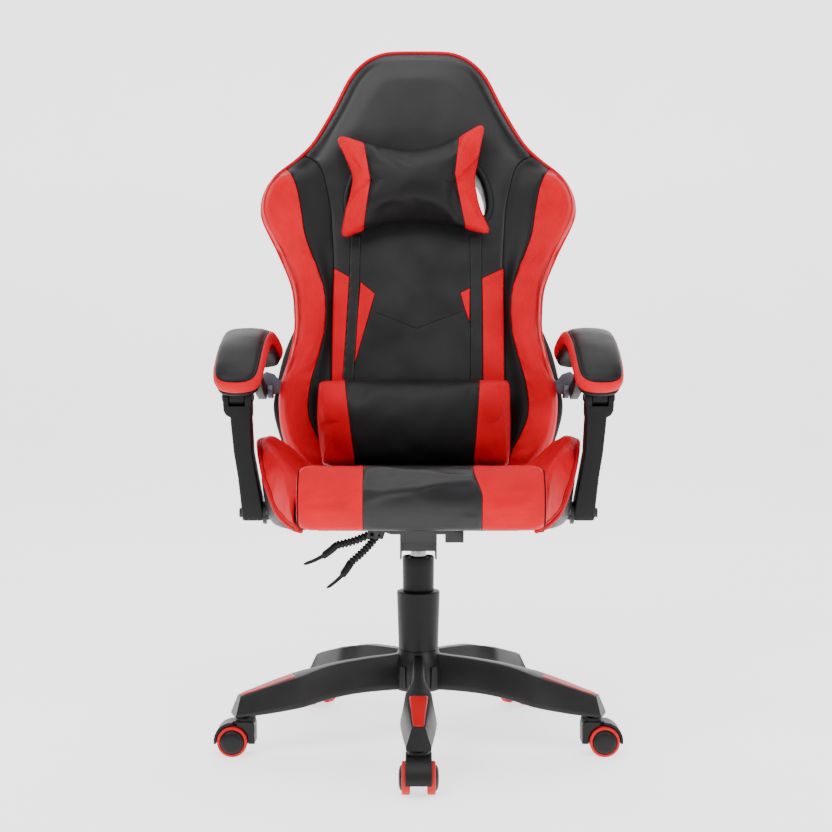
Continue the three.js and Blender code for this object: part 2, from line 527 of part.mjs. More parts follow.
add('release_button', 'steel', rod('z', 4.5, [0, 0], SPRING_TOP + GAP, BUTTON_TOP, 12));
add('mechanism_housing', 'painted_steel', mechanismHousing());
add('seat_frame', 'painted_steel', seatFrame());
add('seat_webbing', 'webbing', seatWebbing());
add('seat_cushion', 'black_leather', seatCushion());
add('dust_cover', 'webbing', dustCover());
add('arm_cross_bracket', 'painted_steel', armCrossBracket());
add('recline_pin', 'steel', reclinePin());
add('height_lever', 'soft_grip', lever(LEVERS.height));
add('recline_lever', 'soft_grip', lever(LEVERS.recline));
add('back_frame', 'painted_steel', backFrame());
add('back_shell', 'black_leather', backShell());
add('back_cushion', 'black_leather', backCushion());
for (const [side, s] of SIDES) {
  const place = (g) => (s > 0 ? g : mirrored(g));
  add(`seat_bolster_${side}`, 'red_leather', place(seatBolster()));
  add(`back_wing_${side}`, 'red_leather', place(backWing()));
  add(`arm_upright_${side}`, 'black_plastic', place(armUpright()));
  add(`arm_base_${side}`, 'black_plastic', place(armBase()));
  add(`arm_pad_${side}`, 'black_leather', place(armPad()));
  add(`arm_bolt_${side}`, 'steel', place(armBolt()));
  add(`arm_link_bracket_${side}`, 'painted_steel', place(armLinkBracket()));
}
add('head_pillow', 'black_leather', headPillow());
add('head_strap', 'webbing', headStrap());
add('lumbar_pillow', 'black_leather', lumbarPillow());

export default group;
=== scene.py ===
"""Gaming chair: the looks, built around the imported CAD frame. Shapes are given in millimetres."""
import math

import bmesh
import bpy
import numpy as np
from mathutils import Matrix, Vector, noise
from mathutils.bvhtree import BVHTree


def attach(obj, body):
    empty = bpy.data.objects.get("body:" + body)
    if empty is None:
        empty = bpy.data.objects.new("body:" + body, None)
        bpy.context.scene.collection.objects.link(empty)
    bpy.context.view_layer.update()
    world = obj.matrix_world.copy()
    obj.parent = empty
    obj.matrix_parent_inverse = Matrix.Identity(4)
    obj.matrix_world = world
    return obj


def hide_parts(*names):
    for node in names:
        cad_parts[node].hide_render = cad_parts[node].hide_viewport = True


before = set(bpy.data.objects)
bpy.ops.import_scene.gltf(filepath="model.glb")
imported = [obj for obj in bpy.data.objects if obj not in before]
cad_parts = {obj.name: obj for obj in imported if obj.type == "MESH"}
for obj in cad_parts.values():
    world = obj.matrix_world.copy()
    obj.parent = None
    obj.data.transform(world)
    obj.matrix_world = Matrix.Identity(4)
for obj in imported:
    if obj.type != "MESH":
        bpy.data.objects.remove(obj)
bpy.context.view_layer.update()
MM = 0.001
SIDES = ((-1, "right"), (1, "left"))  # the chair's own right is at -x

# ---- frame of the back ----------------------------------------------------------------
LEAN = math.radians(8)
BACK_FOOT = (205.0, 430.0)            # y, z of the origin of the back's own frame
SIN, COS = math.sin(LEAN), math.cos(LEAN)


def from_back(points):
    """Points (x, depth, height) in the back's own frame, to the chair's frame."""
    p = np.asarray(points, float).reshape(-1, 3)
    return np.stack([p[:, 0], BACK_FOOT[0] + p[:, 1] * COS + p[:, 2] * SIN,
                     BACK_FOOT[1] + p[:, 2] * COS - p[:, 1] * SIN], 1)


def depth_of(p):
    """Depth in the back's own frame of a point in metres."""
    y, z = p[1] / MM - BACK_FOOT[0], p[2] / MM - BACK_FOOT[1]
    return y * COS - z * SIN


def height_of(p):
    """Height up the back of a point in metres."""
    y, z = p[1] / MM - BACK_FOOT[0], p[2] / MM - BACK_FOOT[1]
    return y * SIN + z * COS


# ---- shape helpers --------------------------------------------------------------------
def lengths(points):
    """Distance along a polyline at each of its points."""
    return np.concatenate([[0], np.cumsum(np.linalg.norm(np.diff(points, axis=0), axis=1))])


def spline(points, count, closed=False):
    """count points along a Catmull-Rom curve through points, evenly spaced by length."""
    p = np.asarray(points, float)
    if closed:
        p = np.vstack([p[-1], p, p[0], p[1]])
    else:
        p = np.vstack([2 * p[0] - p[1], p, 2 * p[-1] - p[-2]])
    dense = []
    for a, b, c, d in zip(p[:-3], p[1:-2], p[2:-1], p[3:]):
        t = np.linspace(0, 1, 24, endpoint=False)[:, None]
        dense.append(0.5 * (2 * b + (c - a) * t + (2 * a - 5 * b + 4 * c - d) * t ** 2
                            + (3 * b - a - 3 * c + d) * t ** 3))
    dense = np.vstack(dense + [p[-2:-1]])
    length = lengths(dense)
    at = np.linspace(0, length[-1], count, endpoint=not closed)
    return np.stack([np.interp(at, length, dense[:, k]) for k in range(p.shape[1])], 1)


def smooth(t):
    """0 up to t = 0, 1 from t = 1, with no kink between."""
    t = np.clip(t, 0, 1)
    return t * t * (3 - 2 * t)


def dome(t):
    """0 at t = 0 rising like a quarter circle to 1 at t = 1."""
    return np.sqrt(1 - (1 - np.clip(t, 0, 1)) ** 2)


def groove(distance, width, depth):
    """Depth of a rounded valley at a distance from its bottom line."""
    return depth * np.exp(-(distance / width) ** 2)


def line_distance(flat, line):
    """Distance of each flat point from a polyline."""
    best = np.full(len(flat), 1e9)
    for a, b in zip(line[:-1], line[1:]):
        ab = b - a
        t = np.clip(((flat - a) @ ab) / (ab @ ab + 1e-9), 0, 1)
        best = np.minimum(best, np.linalg.norm(flat - a - t[:, None] * ab, axis=1))
    return best


def inward(loop, centre):
    """Unit normals of a closed flat loop, turned towards its centre."""
    t = np.roll(loop, -1, 0) - np.roll(loop, 1, 0)
    n = np.stack([t[:, 1], -t[:, 0]], 1) / np.linalg.norm(t, axis=1)[:, None]
    return n * np.where(((centre - loop) * n).sum(1) < 0, -1, 1)[:, None]


def mesh_piece(name, points, faces, materials, slots=None):
    """A mesh object from points in millimetres, smooth shaded."""
    mesh = bpy.data.meshes.new(name)
    mesh.from_pydata((np.asarray(points, float) * MM).tolist(), [], [tuple(f) for f in faces])
    for material in materials if isinstance(materials, (list, tuple)) else [materials]:
        mesh.materials.append(material)
    if slots is not None:
        mesh.polygons.foreach_set("material_index", np.asarray(slots, np.int32))
    mesh.polygons.foreach_set("use_smooth", [True] * len(mesh.polygons))
    obj = bpy.data.objects.new(name, mesh)
    bpy.context.scene.collection.objects.link(obj)
    return obj


def skin(rings, closed=True, caps=True):
    """Quads over rings of equal point counts; returns points and faces."""
    n, faces = len(rings[0]), []
    for k in range(len(rings) - 1):
        for i in range(n if closed else n - 1):
            j = (i + 1) % n
            faces.append((k * n + i, k * n + j, (k + 1) * n + j, (k + 1) * n + i))
    if caps and closed:
        last = (len(rings) - 1) * n
        faces.append(tuple(range(n))[::-1])
        faces.append(tuple(last + i for i in range(n)))
    return np.vstack(rings), faces


MERGE = 0.02          # points closer than about this are merged


def edit(obj, work):
    """Runs work(bmesh) on the object's mesh."""
    bm = bmesh.new()
    bm.from_mesh(obj.data)
    work(bm)
    bm.to_mesh(obj.data)
    bm.free()
    obj.data.update()
    return obj


def tidy(obj):
    """Merges coincident points, drops loose ones and turns the faces outward."""
    def work(bm):
        bmesh.ops.remove_doubles(bm, verts=bm.verts, dist=MERGE * MM)
        bmesh.ops.delete(bm, geom=[v for v in bm.verts if not v.link_faces], context="VERTS")
        bmesh.ops.recalc_face_normals(bm, faces=bm.faces)
    return edit(obj, work)


def open_rim(obj):
    """Vertices on the open edge of the piece."""
    bm = bmesh.new()
    bm.from_mesh(obj.data)
    rim = {v.index for v in bm.verts if v.is_boundary}
    bm.free()
    return rim


def crumpled(obj, size, height, seed=0.0):
    """Gives the surface the slight unevenness of stretched leather."""
    data = obj.data
    co = np.array([v.co for v in data.vertices])
    no = np.array([v.normal for v in data.vertices])
    wave = np.array([noise.noise(Vector(p / (size * MM)) + Vector((seed, 0, 0))) for p in co])
    data.vertices.foreach_set("co", (co + no * (wave * height * MM)[:, None]).ravel())
    data.update()
    return obj


def welded(points, faces):
    """Points and faces with coincident points merged and collapsed faces dropped."""
    keys = np.round(np.asarray(points) / MERGE).astype(np.int64)
    first, index = np.unique(keys, axis=0, return_index=True, return_inverse=True)[1:]
    index = index.ravel()
    out = []
    for f in faces:
        g = [int(index[i]) for i in f]
        g = [v for k, v in enumerate(g) if v != g[k - 1]]
        if len(set(g)) > 2:
            out.append(tuple(g))
    return np.asarray(points)[first], out


def membrane(flat, faces, rim):
    """Height of a membrane blown up over a flat mesh: 0 at the rim points, 1 at its highest."""
    tri = np.array([t for f in faces
                    for t in [(f[0], f[1], f[2]), (f[0], f[2], f[-1])][:len(f) - 2]])
    a, b, c = (flat[tri[:, k]] for k in range(3))
    cross = np.abs((b[:, 0] - a[:, 0]) * (c[:, 1] - a[:, 1]) - (b[:, 1] - a[:, 1]) * (c[:, 0] - a[:, 0]))
    n, free = len(flat), np.ones(len(flat))
    free[rim] = 0
    load = free * np.bincount(tri.ravel(), np.repeat(cross / 6, 3), n)
    ends, weight = [], []
    for k in range(3):
        o, i, j = tri[:, k], tri[:, (k + 1) % 3], tri[:, (k + 2) % 3]
        dot = ((flat[i] - flat[o]) * (flat[j] - flat[o])).sum(1)
        ends.append(np.stack([i, j], 1))
        weight.append(np.clip(dot / np.maximum(cross, 1e-6), 0.02, 20) / 2)
    (i, j), w = np.vstack(ends).T, np.concatenate(weight)

    def apply(x):
        flow = w * (x[i] - x[j])
        return free * (np.bincount(i, flow, n) - np.bincount(j, flow, n))
    h, rest = np.zeros(n), load.copy()
    way, size = rest.copy(), rest @ rest
    for _ in range(500):
        step = apply(way)
        k = size / max(way @ step, 1e-12)
        h, rest = h + k * way, rest - k * step
        new = rest @ rest
        if new < 1e-10 * (load @ load):
            break
        way, size = rest + way * (new / size), new
    return np.clip(h / h.max(), 0, 1)


def apply_modifiers(obj):
    """Makes the mesh what its modifiers show."""
    graph = bpy.context.evaluated_depsgraph_get()
    mesh = bpy.data.meshes.new_from_object(obj.evaluated_get(graph), depsgraph=graph)
    old = obj.data
    obj.modifiers.clear()
    obj.data = mesh
    bpy.data.meshes.remove(old)
    return obj


def subdivided(obj):
    """One level of subdivision."""
    obj.modifiers.new("smooth", "SUBSURF").levels = 1
    return apply_modifiers(obj)


def sharp_shading(obj, angle=35):
    """Smooth shading with edges sharper than angle kept crisp."""
    limit = math.radians(angle)

    def work(bm):
        for face in bm.faces:
            face.smooth = True
        for e in bm.edges:
            e.smooth = len(e.link_faces) == 2 and e.calc_face_angle(0) < limit
    return edit(obj, work)


def bevelled(obj, width):
    """Merges flat facets and rounds the edges by width millimetres."""
    def flatten(bm):
        bmesh.ops.remove_doubles(bm, verts=bm.verts, dist=0.01 * MM)
        bmesh.ops.dissolve_limit(bm, angle_limit=math.radians(0.6), verts=bm.verts, edges=bm.edges)
    edit(obj, flatten)
    m = obj.modifiers.new("bevel", "BEVEL")
    m.width, m.segments = width * MM, 2
    m.limit_method, m.angle_limit = "ANGLE", math.radians(28)
    m.use_clamp_overlap = True
    m.harden_normals = False
    return sharp_shading(apply_modifiers(obj), 38)


def tube(path, radius, sides, closed=False):
    """Points and faces of a round tube; radius may vary along the path."""
    p = np.asarray(path, float)
    n = len(p)
    radius = np.broadcast_to(radius, (n,))
    tangent = np.roll(p, -1, 0) - np.roll(p, 1, 0) if closed else np.gradient(p, axis=0)
    tangent /= np.linalg.norm(tangent, axis=1)[:, None] + 1e-12
    side = np.cross(tangent[0], [0.3, 0.2, 1.0])
    rings = []
    for k in range(n):
        side = side - tangent[k] * side.dot(tangent[k])
        side /= np.linalg.norm(side)
        up = np.cross(tangent[k], side)
        a = np.linspace(0, 2 * math.pi, sides, endpoint=False)[:, None]
        rings.append(p[k] + radius[k] * (np.cos(a) * side + np.sin(a) * up))
    points, faces = skin(rings, caps=not closed)
    if closed:
        # the last ring may have turned against the first: join the points that lie nearest
        offset = min(range(sides), key=lambda o: np.linalg.norm(np.roll(rings[0], -o, 0) - rings[-1]))
        last = (n - 1) * sides
        for i in range(sides):
            j = (i + 1) % sides
            faces.append((last + i, last + j, (j + offset) % sides, (i + offset) % sides))
    return points, faces


def lathe(profile, sides):
    """Points and faces of a profile [(radius, height)] turned about Z."""
    a = np.linspace(0, 2 * math.pi, sides, endpoint=False)
    rings = [np.stack([r * np.cos(a), r * np.sin(a), np.full(sides, h)], 1) for r, h in profile]
    return skin(rings, caps=False)


def joined(name, parts, material):
    """One object from several (points, faces)."""
    points, faces, start = [], [], 0
    for p, f in parts:
        points.append(p)
        faces += [tuple(start + i for i in face) for face in f]
        start += len(p)
    return mesh_piece(name, np.vstack(points), faces, material)


def solid(name, shape, material, angle=None):
    """A clean mesh object from (points, faces); edges sharper than angle are kept crisp."""
    obj = tidy(mesh_piece(name, *shape, material))
    return obj if angle is None else sharp_shading(obj, angle)


STITCH_PITCH, STITCH_LONG, STITCH_RADIUS = 5.0, 3.4, 0.42


def stitch_row(path):
    """(points, faces) of each stitch of a row along a path."""
    p = np.asarray(path, float)
    along = lengths(p)
    reach, thin = STITCH_LONG / 2, STITCH_RADIUS * 0.35
    parts = []
    for s in np.arange(STITCH_PITCH / 2, along[-1] - reach, STITCH_PITCH):
        at = [np.array([np.interp(s + d, along, p[:, k]) for k in range(3)])
              for d in (-reach, -reach / 2, reach / 2, reach)]
        parts.append(tube(at, [thin, STITCH_RADIUS, STITCH_RADIUS, thin], 5))
    return parts


def piece_bvh(obj):
    """A search tree over the piece's surface."""
    bm = bmesh.new()
    bm.from_mesh(obj.data)
    tree = BVHTree.FromBMesh(bm)
    bm.free()
    return tree


def dropped(tree, points, direction, lift=0.0):
    """Points moved along direction on to the surface in tree, less lift; misses are left out."""
    out, d = [], Vector(direction).normalized()
    for p in np.asarray(points, float):
        hit = tree.ray_cast(Vector(p * MM) - d * 0.25, d)
        if hit[0] is not None:
            out.append((np.array(hit[0]) / MM) - np.array(d) * lift)
    return np.array(out)


def snapped(tree, points, lift=0.0):
    """Points moved to the nearest place on the surface in tree, then out by lift."""
    out = []
    for p in np.asarray(points, float):
        at, normal = tree.find_nearest(Vector(p * MM))[:2]
        out.append(np.array(at) / MM + np.array(normal) * lift)
    return np.array(out)


CLOTH_FRAMES = 16


def puff(obj, pins, pressure, grow, cap, bend=0.4):
    """Fills the piece out as sewn leather: cloth pressure, with the vertices in pins held.

    grow is how much the cloth stretches and cap the most that a point may move, in millimetres."""
    rest = np.array([v.co for v in obj.data.vertices])
    group = obj.vertex_groups.new(name="seams")
    group.add([int(i) for i in pins], 1.0, "REPLACE")
    m = obj.modifiers.new("cloth", "CLOTH")
    s = m.settings
    s.quality, s.mass, s.air_damping = 6, 0.3, 3.0
    s.tension_stiffness = s.compression_stiffness = 25
    s.shear_stiffness, s.bending_stiffness = 12, bend
    s.vertex_group_mass, s.pin_stiffness = "seams", 1.0
    s.use_pressure, s.uniform_pressure_force = True, pressure
    s.shrink_min = -grow
    s.effector_weights.gravity = 0
    m.point_cache.frame_start, m.point_cache.frame_end = 1, CLOTH_FRAMES
    scene = bpy.context.scene
    for f in range(1, CLOTH_FRAMES + 1):
        scene.frame_set(f)
    graph = bpy.context.evaluated_depsgraph_get()
    moved = np.array([v.co for v in obj.evaluated_get(graph).data.vertices])
    step = moved - rest
    size = np.linalg.norm(step, axis=1)[:, None]
    limit = cap * MM
    moved = rest + step * np.where(size > limit, limit / np.maximum(size, 1e-9), 1.0)
    obj.modifiers.clear()
    obj.vertex_groups.clear()
    obj.data.vertices.foreach_set("co", moved.ravel())
    obj.data.update()
    scene.frame_set(1)
    return obj


def place(obj, body, slot, *nodes):
    """Hands a piece to the frame: the body it rides on and the nodes it stands for, which it hides. slot is
    not used.
    """
    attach(obj, body)
    if nodes:
        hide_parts(*nodes)
    return obj


def soft(obj, body, slot, fill, *nodes):
    """place for a padded piece."""
    return place(obj, body, slot, *nodes)


# ---- materials ------------------------------------------------------------------------
class Shader:
    """A small node graph under one Principled shader."""

    def __init__(self, name, **sockets):
        self.material = bpy.data.materials.new(name)
        self.material.use_nodes = True
        self.tree = self.material.node_tree
        self.bsdf = self.tree.nodes["Principled BSDF"]
        for key, value in sockets.items():
            self.bsdf.inputs[key.replace("_", " ")].default_value = value
        self.where = self.node("ShaderNodeTexCoord").outputs["Object"]

    def node(self, kind, **values):
        n = self.tree.nodes.new(kind)
        for key, value in values.items():
            if hasattr(n, key):
                setattr(n, key, value)
            else:
                n.inputs[key].default_value = value
        return n

    def link(self, a, b):
        self.tree.links.new(a, b)

    def noise(self, scale, detail=3.0, stretch=None):
        n = self.node("ShaderNodeTexNoise", Scale=scale, Detail=detail)
        source = self.where
        if stretch:
            mapping = self.node("ShaderNodeMapping")
            mapping.inputs["Scale"].default_value = stretch
            self.link(source, mapping.inputs["Vector"])
            source = mapping.outputs["Vector"]
        self.link(source, n.inputs["Vector"])
        return n.outputs["Fac"]

    def ramp(self, source, low, high, start=0.35, end=0.65):
        n = self.node("ShaderNodeValToRGB")
        e = n.color_ramp.elements
        e[0].position, e[1].position = start, end
        e[0].color, e[1].color = (*low, 1), (*high, 1)
        self.link(source, n.inputs["Fac"])
        return n.outputs["Color"]

    def span(self, source, low, high, start=0.3, end=0.7):
        n = self.node("ShaderNodeMapRange")
        for key, value in zip(("From Min", "From Max", "To Min", "To Max"), (start, end, low, high)):
            n.inputs[key].default_value = value
        self.link(source, n.inputs["Value"])
        return n.outputs["Result"]

    def bump(self, source, strength, distance, after=None):
        n = self.node("ShaderNodeBump", Strength=strength, Distance=distance)
        self.link(source, n.inputs["Height"])
        if after is not None:
            self.link(after, n.inputs["Normal"])
        return n.outputs["Normal"]

    def finish(self, color=None, rough=None, normal=None):
        for source, key in ((color, "Base Color"), (rough, "Roughness"), (normal, "Normal")):
            if source is not None:
                self.link(source, self.bsdf.inputs[key])
        return self.material


# each look has a dark and a light colour to vary between, and a range of roughness
def leather(name, dark, light, rough=(0.36, 0.5), grain=0.22, shine=0.35, tint=(1, 1, 1)):
    s = Shader(name, Specular_IOR_Level=shine, Specular_Tint=(*tint, 1))
    pores = s.node("ShaderNodeTexVoronoi", Scale=620.0, feature="DISTANCE_TO_EDGE")
    s.link(s.where, pores.inputs["Vector"])
    broad = s.noise(14.0, 4.0)
    normal = s.bump(s.span(pores.outputs["Distance"], 0, 1, 0.0, 0.35), grain, 0.00025)
    normal = s.bump(s.noise(1300.0, 2.0), grain * 0.7, 0.0002, normal)
    normal = s.bump(s.noise(60.0, 3.0), 0.12, 0.0012, normal)
    return s.finish(s.ramp(broad, dark, light), s.span(broad, *rough), normal)


def plastic(name, dark, light, rough=(0.38, 0.52), grain=0.15, scale=900.0, shine=0.4):
    s = Shader(name, Specular_IOR_Level=shine)
    fine, broad = s.noise(scale, 2.0), s.noise(9.0, 3.0)
    return s.finish(s.ramp(broad, dark, light), s.span(broad, *rough), s.bump(fine, grain, 0.0002))


def metal(name, dark, light, rough, brushed):
    s = Shader(name, Metallic=1.0)
    lines = s.noise(260.0, 4.0, stretch=brushed)
    return s.finish(s.ramp(lines, dark, light), s.span(lines, *rough), s.bump(lines, 0.05, 0.0001))


def woven(name, dark, light, pitch):
    s = Shader(name, Sheen_Weight=0.25, Sheen_Roughness=0.5, Specular_IOR_Level=0.2)
    warp = s.node("ShaderNodeTexWave", Scale=pitch, bands_direction="X")
    weft = s.node("ShaderNodeTexWave", Scale=pitch, bands_direction="Y")
    for wave in (warp, weft):
        s.link(s.where, wave.inputs["Vector"])
    both = s.node("ShaderNodeMath", operation="MULTIPLY")
    s.link(warp.outputs["Fac"], both.inputs[0])
    s.link(weft.outputs["Fac"], both.inputs[1])
    return s.finish(s.ramp(both.outputs[0], dark, light, 0.1, 0.7), s.span(s.noise(40.0), 0.75, 0.95),
                    s.bump(both.outputs[0], 0.4, 0.0004))


RED_TINT = (1.0, 0.36, 0.38)
BLACK_LEATHER = leather("black_leather", (0.0050, 0.0046, 0.0056), (0.0085, 0.0080, 0.0094), (0.34, 0.46))
RED_LEATHER = leather("red_leather", (0.52, 0.0, 0.009), (0.64, 0.0, 0.012), (0.40, 0.52), 0.16, 0.12,
                      RED_TINT)
PIPING_RED = leather("piping_red", (0.46, 0.0, 0.010), (0.56, 0.0, 0.013), (0.42, 0.55), 0.1, 0.2, RED_TINT)
# painted shade: a darker, duller copy of the black leather, put on the pillows, the arm pads and the side
# panels of the back
SHADE_DARKENED_LEATHER = leather("shade_darkened_leather", (0.0035, 0.0032, 0.0038), (0.006, 0.0057, 0.0066), (0.42, 0.54),
                         0.2, 0.22)
BACK_LEATHER = leather("back_leather", (0.0045, 0.0042, 0.005), (0.0075, 0.0072, 0.0082), (0.42, 0.55), 0.3)
SEAM_BLACK = plastic("seam_black", (0.002, 0.002, 0.002), (0.004, 0.004, 0.004), (0.8, 0.9), shine=0.1)
SEAM_RED = plastic("seam_red", (0.16, 0.002, 0.004), (0.22, 0.003, 0.005), (0.7, 0.85), shine=0.1)
THREAD_BLACK = woven("thread_black", (0.008, 0.008, 0.008), (0.02, 0.02, 0.02), 2600.0)
THREAD_RED = woven("thread_red", (0.30, 0.002, 0.004), (0.45, 0.004, 0.008), 2600.0)
NYLON = plastic("nylon", (0.0075, 0.0068, 0.0070), (0.0115, 0.0105, 0.0108), (0.36, 0.48), 0.22, 700.0, 0.32)
COVER_PLASTIC = plastic("cover_plastic", (0.0035, 0.0033, 0.0036), (0.0056, 0.0053, 0.0057), (0.42, 0.52),
                        0.12, shine=0.22)
ARM_PLASTIC = plastic("arm_plastic", (0.0032, 0.0028, 0.0032), (0.0048, 0.0042, 0.0047), (0.42, 0.56), 0.3,
                      520.0, 0.18)
INLAY_RED = plastic("inlay_red", (0.48, 0.002, 0.005), (0.58, 0.004, 0.008), (0.28, 0.4), 0.1, shine=0.25)
TYRE_RED = plastic("tyre_red", (0.44, 0.003, 0.005), (0.53, 0.005, 0.008), (0.4, 0.55), 0.12, shine=0.25)
CAP_BLACK = plastic("cap_black", (0.0045, 0.0042, 0.0047), (0.007, 0.0066, 0.0073), (0.38, 0.5), 0.16,
                    shine=0.25)
BLACK_STEEL = plastic("black_steel", (0.007, 0.007, 0.0078), (0.012, 0.012, 0.013), (0.35, 0.5), 0.25, 420.0)
GREY_STEEL = plastic("grey_steel", (0.055, 0.050, 0.068), (0.085, 0.078, 0.10), (0.28, 0.4), 0.2, 420.0)
CHROME = metal("chrome", (0.30, 0.30, 0.31), (0.42, 0.42, 0.43), (0.08, 0.16), (0.2, 0.2, 3))
BRIGHT_STEEL = metal("bright_steel", (0.38, 0.38, 0.39), (0.55, 0.55, 0.56), (0.25, 0.38), (1, 6, 1))
RUBBER = plastic("rubber", (0.006, 0.006, 0.006), (0.010, 0.0098, 0.010), (0.55, 0.7), 0.3)
WEBBING = woven("webbing", (0.006, 0.006, 0.006), (0.02, 0.02, 0.02), 420.0)
RED_TRIM = (PIPING_RED, SEAM_RED, THREAD_RED)


def trim_slot(material):
    """Red trim shares the slot of the red leather, all other trim that of the black."""
    return "red_leather" if material in RED_TRIM else "black_leather"


def cord(name, path, radius, body, sides=6, closed=False, material=SEAM_BLACK):
    """A seam, welt or piping along a path."""
    place(solid(name, tube(path, radius, sides, closed), material), body, trim_slot(material))


def stitches(name, path, body, material):
    """A row of stitches along a path."""
    place(joined(name, stitch_row(path), material), body, trim_slot(material))


def painted(node, material):
    """Gives a CAD node that stays as it is its material."""
    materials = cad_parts[node].data.materials
    materials.clear()
    materials.append(material)


def refined(node, body, bevel):
    """A copy of a CAD node in painted steel with its edges rounded, standing for it."""
    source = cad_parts[node]
    obj = bpy.data.objects.new(node + "_piece", source.data.copy())
    bpy.context.scene.collection.objects.link(obj)
    if "custom_normal" in obj.data.attributes:
        obj.data.attributes.remove(obj.data.attributes["custom_normal"])
    obj.data.materials.clear()
    obj.data.materials.append(BLACK_STEEL)
    place(bevelled(obj, bevel), body, "painted_steel", node)


# ---- back: outlines and front surface -------------------------------------------------
# (x, height) in the back's own frame, one half each, from the top down
OUTLINE = [(0, 797), (40, 796.5), (68, 793), (98, 778), (126, 747), (157, 686), (193, 625), (223, 594),
           (264, 563), (284, 533), (291, 503), (286, 472), (257, 412), (233, 352), (227, 300), (228, 262),
           (237, 220), (249, 177), (254, 140), (250, 92), (237, 50), (214, 17), (190, 8), (120, 6), (0, 6)]
SHELL_LOW = [(228, 285), (236, 262), (250, 224), (263, 165), (267, 130), (260, 95), (245, 55), (216, 20),
             (190, 11), (120, 9), (0, 9)]
WING_EDGE = [(246, 578), (234, 558), (223, 533), (215, 494), (208, 448), (196, 412), (183, 380), (172, 345),
             (168, 309), (170, 267), (180, 223), (192, 183), (199, 141), (197, 108), (185, 78), (168, 45),
             (158, 8)]
SEAM = [(214, 602), (198, 590), (186, 580), (177, 565), (171, 544), (162, 499), (159, 463), (155, 391),
        (156, 344), (158, 260), (159, 179), (158, 90), (152, 8)]
HEAD_FROM = 602          # the middle panel takes the whole width above this height
WING_TOP = 578
BACK_CENTRE = np.array([0, 400.0])
PIPING_DEPTH = -34.0

half_outline = spline(OUTLINE, 420)
shell_half = spline(OUTLINE[:14] + SHELL_LOW[:-1] + [(0, 9)], 420)
wing_line, seam_line = spline(WING_EDGE, 300), spline(SEAM, 300)


def width_at(line, u):
    """x of a line at a height."""
    order = np.argsort(line[:, 1])
    return np.interp(u, line[order, 1], line[order, 0])


side_part = half_outline[half_outline[:, 0] > 60]


def edge_distance(x, u):
    """Distance of each (x, height) from the edge of the back."""
    flat = np.stack([np.abs(np.ravel(x)), np.ravel(u)], 1)
    return line_distance(flat, half_outline[::3]).reshape(np.shape(x))


def front_depth(x, u):
    """Depth of the front of the back at (x, height): the padding, the raised wings and the seams."""
    ax = np.abs(x)
    e = edge_distance(x, u)
    o, w, s = (width_at(line, u) for line in (side_part, wing_line, seam_line))
    w = np.where(u > WING_TOP, o, np.minimum(w, o))
    s = np.where(u > HEAD_FROM, o, np.minimum(s, o))
    wide = smooth((o - w) / 55)       # the relief fades where the wing is narrow
    across = np.clip((o - ax) / np.maximum(o - w, 1), 0, 1)
    slope = smooth((ax - s) / np.maximum(w - s, 8))
    wing = np.where(ax >= w, 15 + 7 * np.sin(math.pi * np.clip(across, 0, 1)), 15 * slope)
    # the head panel is thicker, with a roll just inside its edge; the shoulders stand out
    head = 9 * smooth((u - 540) / 110) * smooth(e / 60)
    head_roll = 3.2 * np.exp(-((e - 20) / 9) ** 2) * smooth((u - 600) / 60)
    shoulder = 7 * np.exp(-((u - 560) / 55) ** 2) * smooth((ax - 120) / 60) * smooth(e / 30)
    return -(28 + 26 * dome(e / 34) + wide * wing * dome(e / 26) + head + head_roll + shoulder)


def patch_depth(x, u, seams):
    """front_depth with the valleys of seams, each a polyline of (x, height), a width and a depth."""
    d = front_depth(x, u)
    flat = np.stack([np.ravel(x), np.ravel(u)], 1)
    for line, width, depth in seams:
        d = d + groove(line_distance(flat, line), width, depth).reshape(np.shape(d))
    return d


def ring_patch(loop, low, high, fractions):
    """Rings from a closed loop in to the middle line between two heights: flat points and quads."""
    inner = np.column_stack([np.zeros(len(loop)), np.clip(loop[:, 1], low, high)])
    return skin([loop + (inner - loop) * f for f in fractions], caps=False)


# the strap slots: middle, half width, half height and lean
SLOT = {"x": 104.0, "u": 527.0, "half": 26.0, "tall": 55.0, "tilt": 0.28}


def slot_loop(side, grow):
    """The oval of a strap slot in (x, height), grown on all sides."""
    a = np.linspace(0, 2 * math.pi, 56, endpoint=False)
    p, q = (SLOT["half"] + grow) * np.cos(a), (SLOT["tall"] + grow) * np.sin(a)
    t = side * SLOT["tilt"]
    return np.stack([side * SLOT["x"] + p * math.cos(t) - q * math.sin(t),
                     SLOT["u"] + p * math.sin(t) + q * math.cos(t)], 1)


def cut_slots(points, faces, where=None):
    """Opens the strap slots in (x, height, ...) points: drops the faces inside, snaps their rim."""
    points = np.array(points, float)
    where = np.ones(len(points), bool) if where is None else where
    inside = np.zeros(len(points), bool)
    for side in (-1, 1):
        t = side * SLOT["tilt"]
        dx, du = points[:, 0] - side * SLOT["x"], points[:, 1] - SLOT["u"]
        p, q = dx * math.cos(t) + du * math.sin(t), -dx * math.sin(t) + du * math.cos(t)
        r = np.hypot(p / SLOT["half"], q / SLOT["tall"])
        inside |= where & (r <= 0.75)
        snap = where & (r > 0.75) & (r < 1.0)
        points[snap, 0] = side * SLOT["x"] + dx[snap] / r[snap]
        points[snap, 1] = SLOT["u"] + du[snap] / r[snap]
    return points, [f for f in faces if not any(inside[i] for i in f)]


def patch_piece(name, flat, faces, material, seams):
    """A panel of the front from its flat points (x, height)."""
    x, u = flat[:, 0], flat[:, 1]
    points = from_back(np.stack([x, patch_depth(x, u, seams), u], 1))
    return solid(name, (points, faces), material)


def mirror_line(line):
    return line * np.array([-1, 1])


SEAM_GROOVE = (2.6, 1.5)  # width and depth of a seam's valley
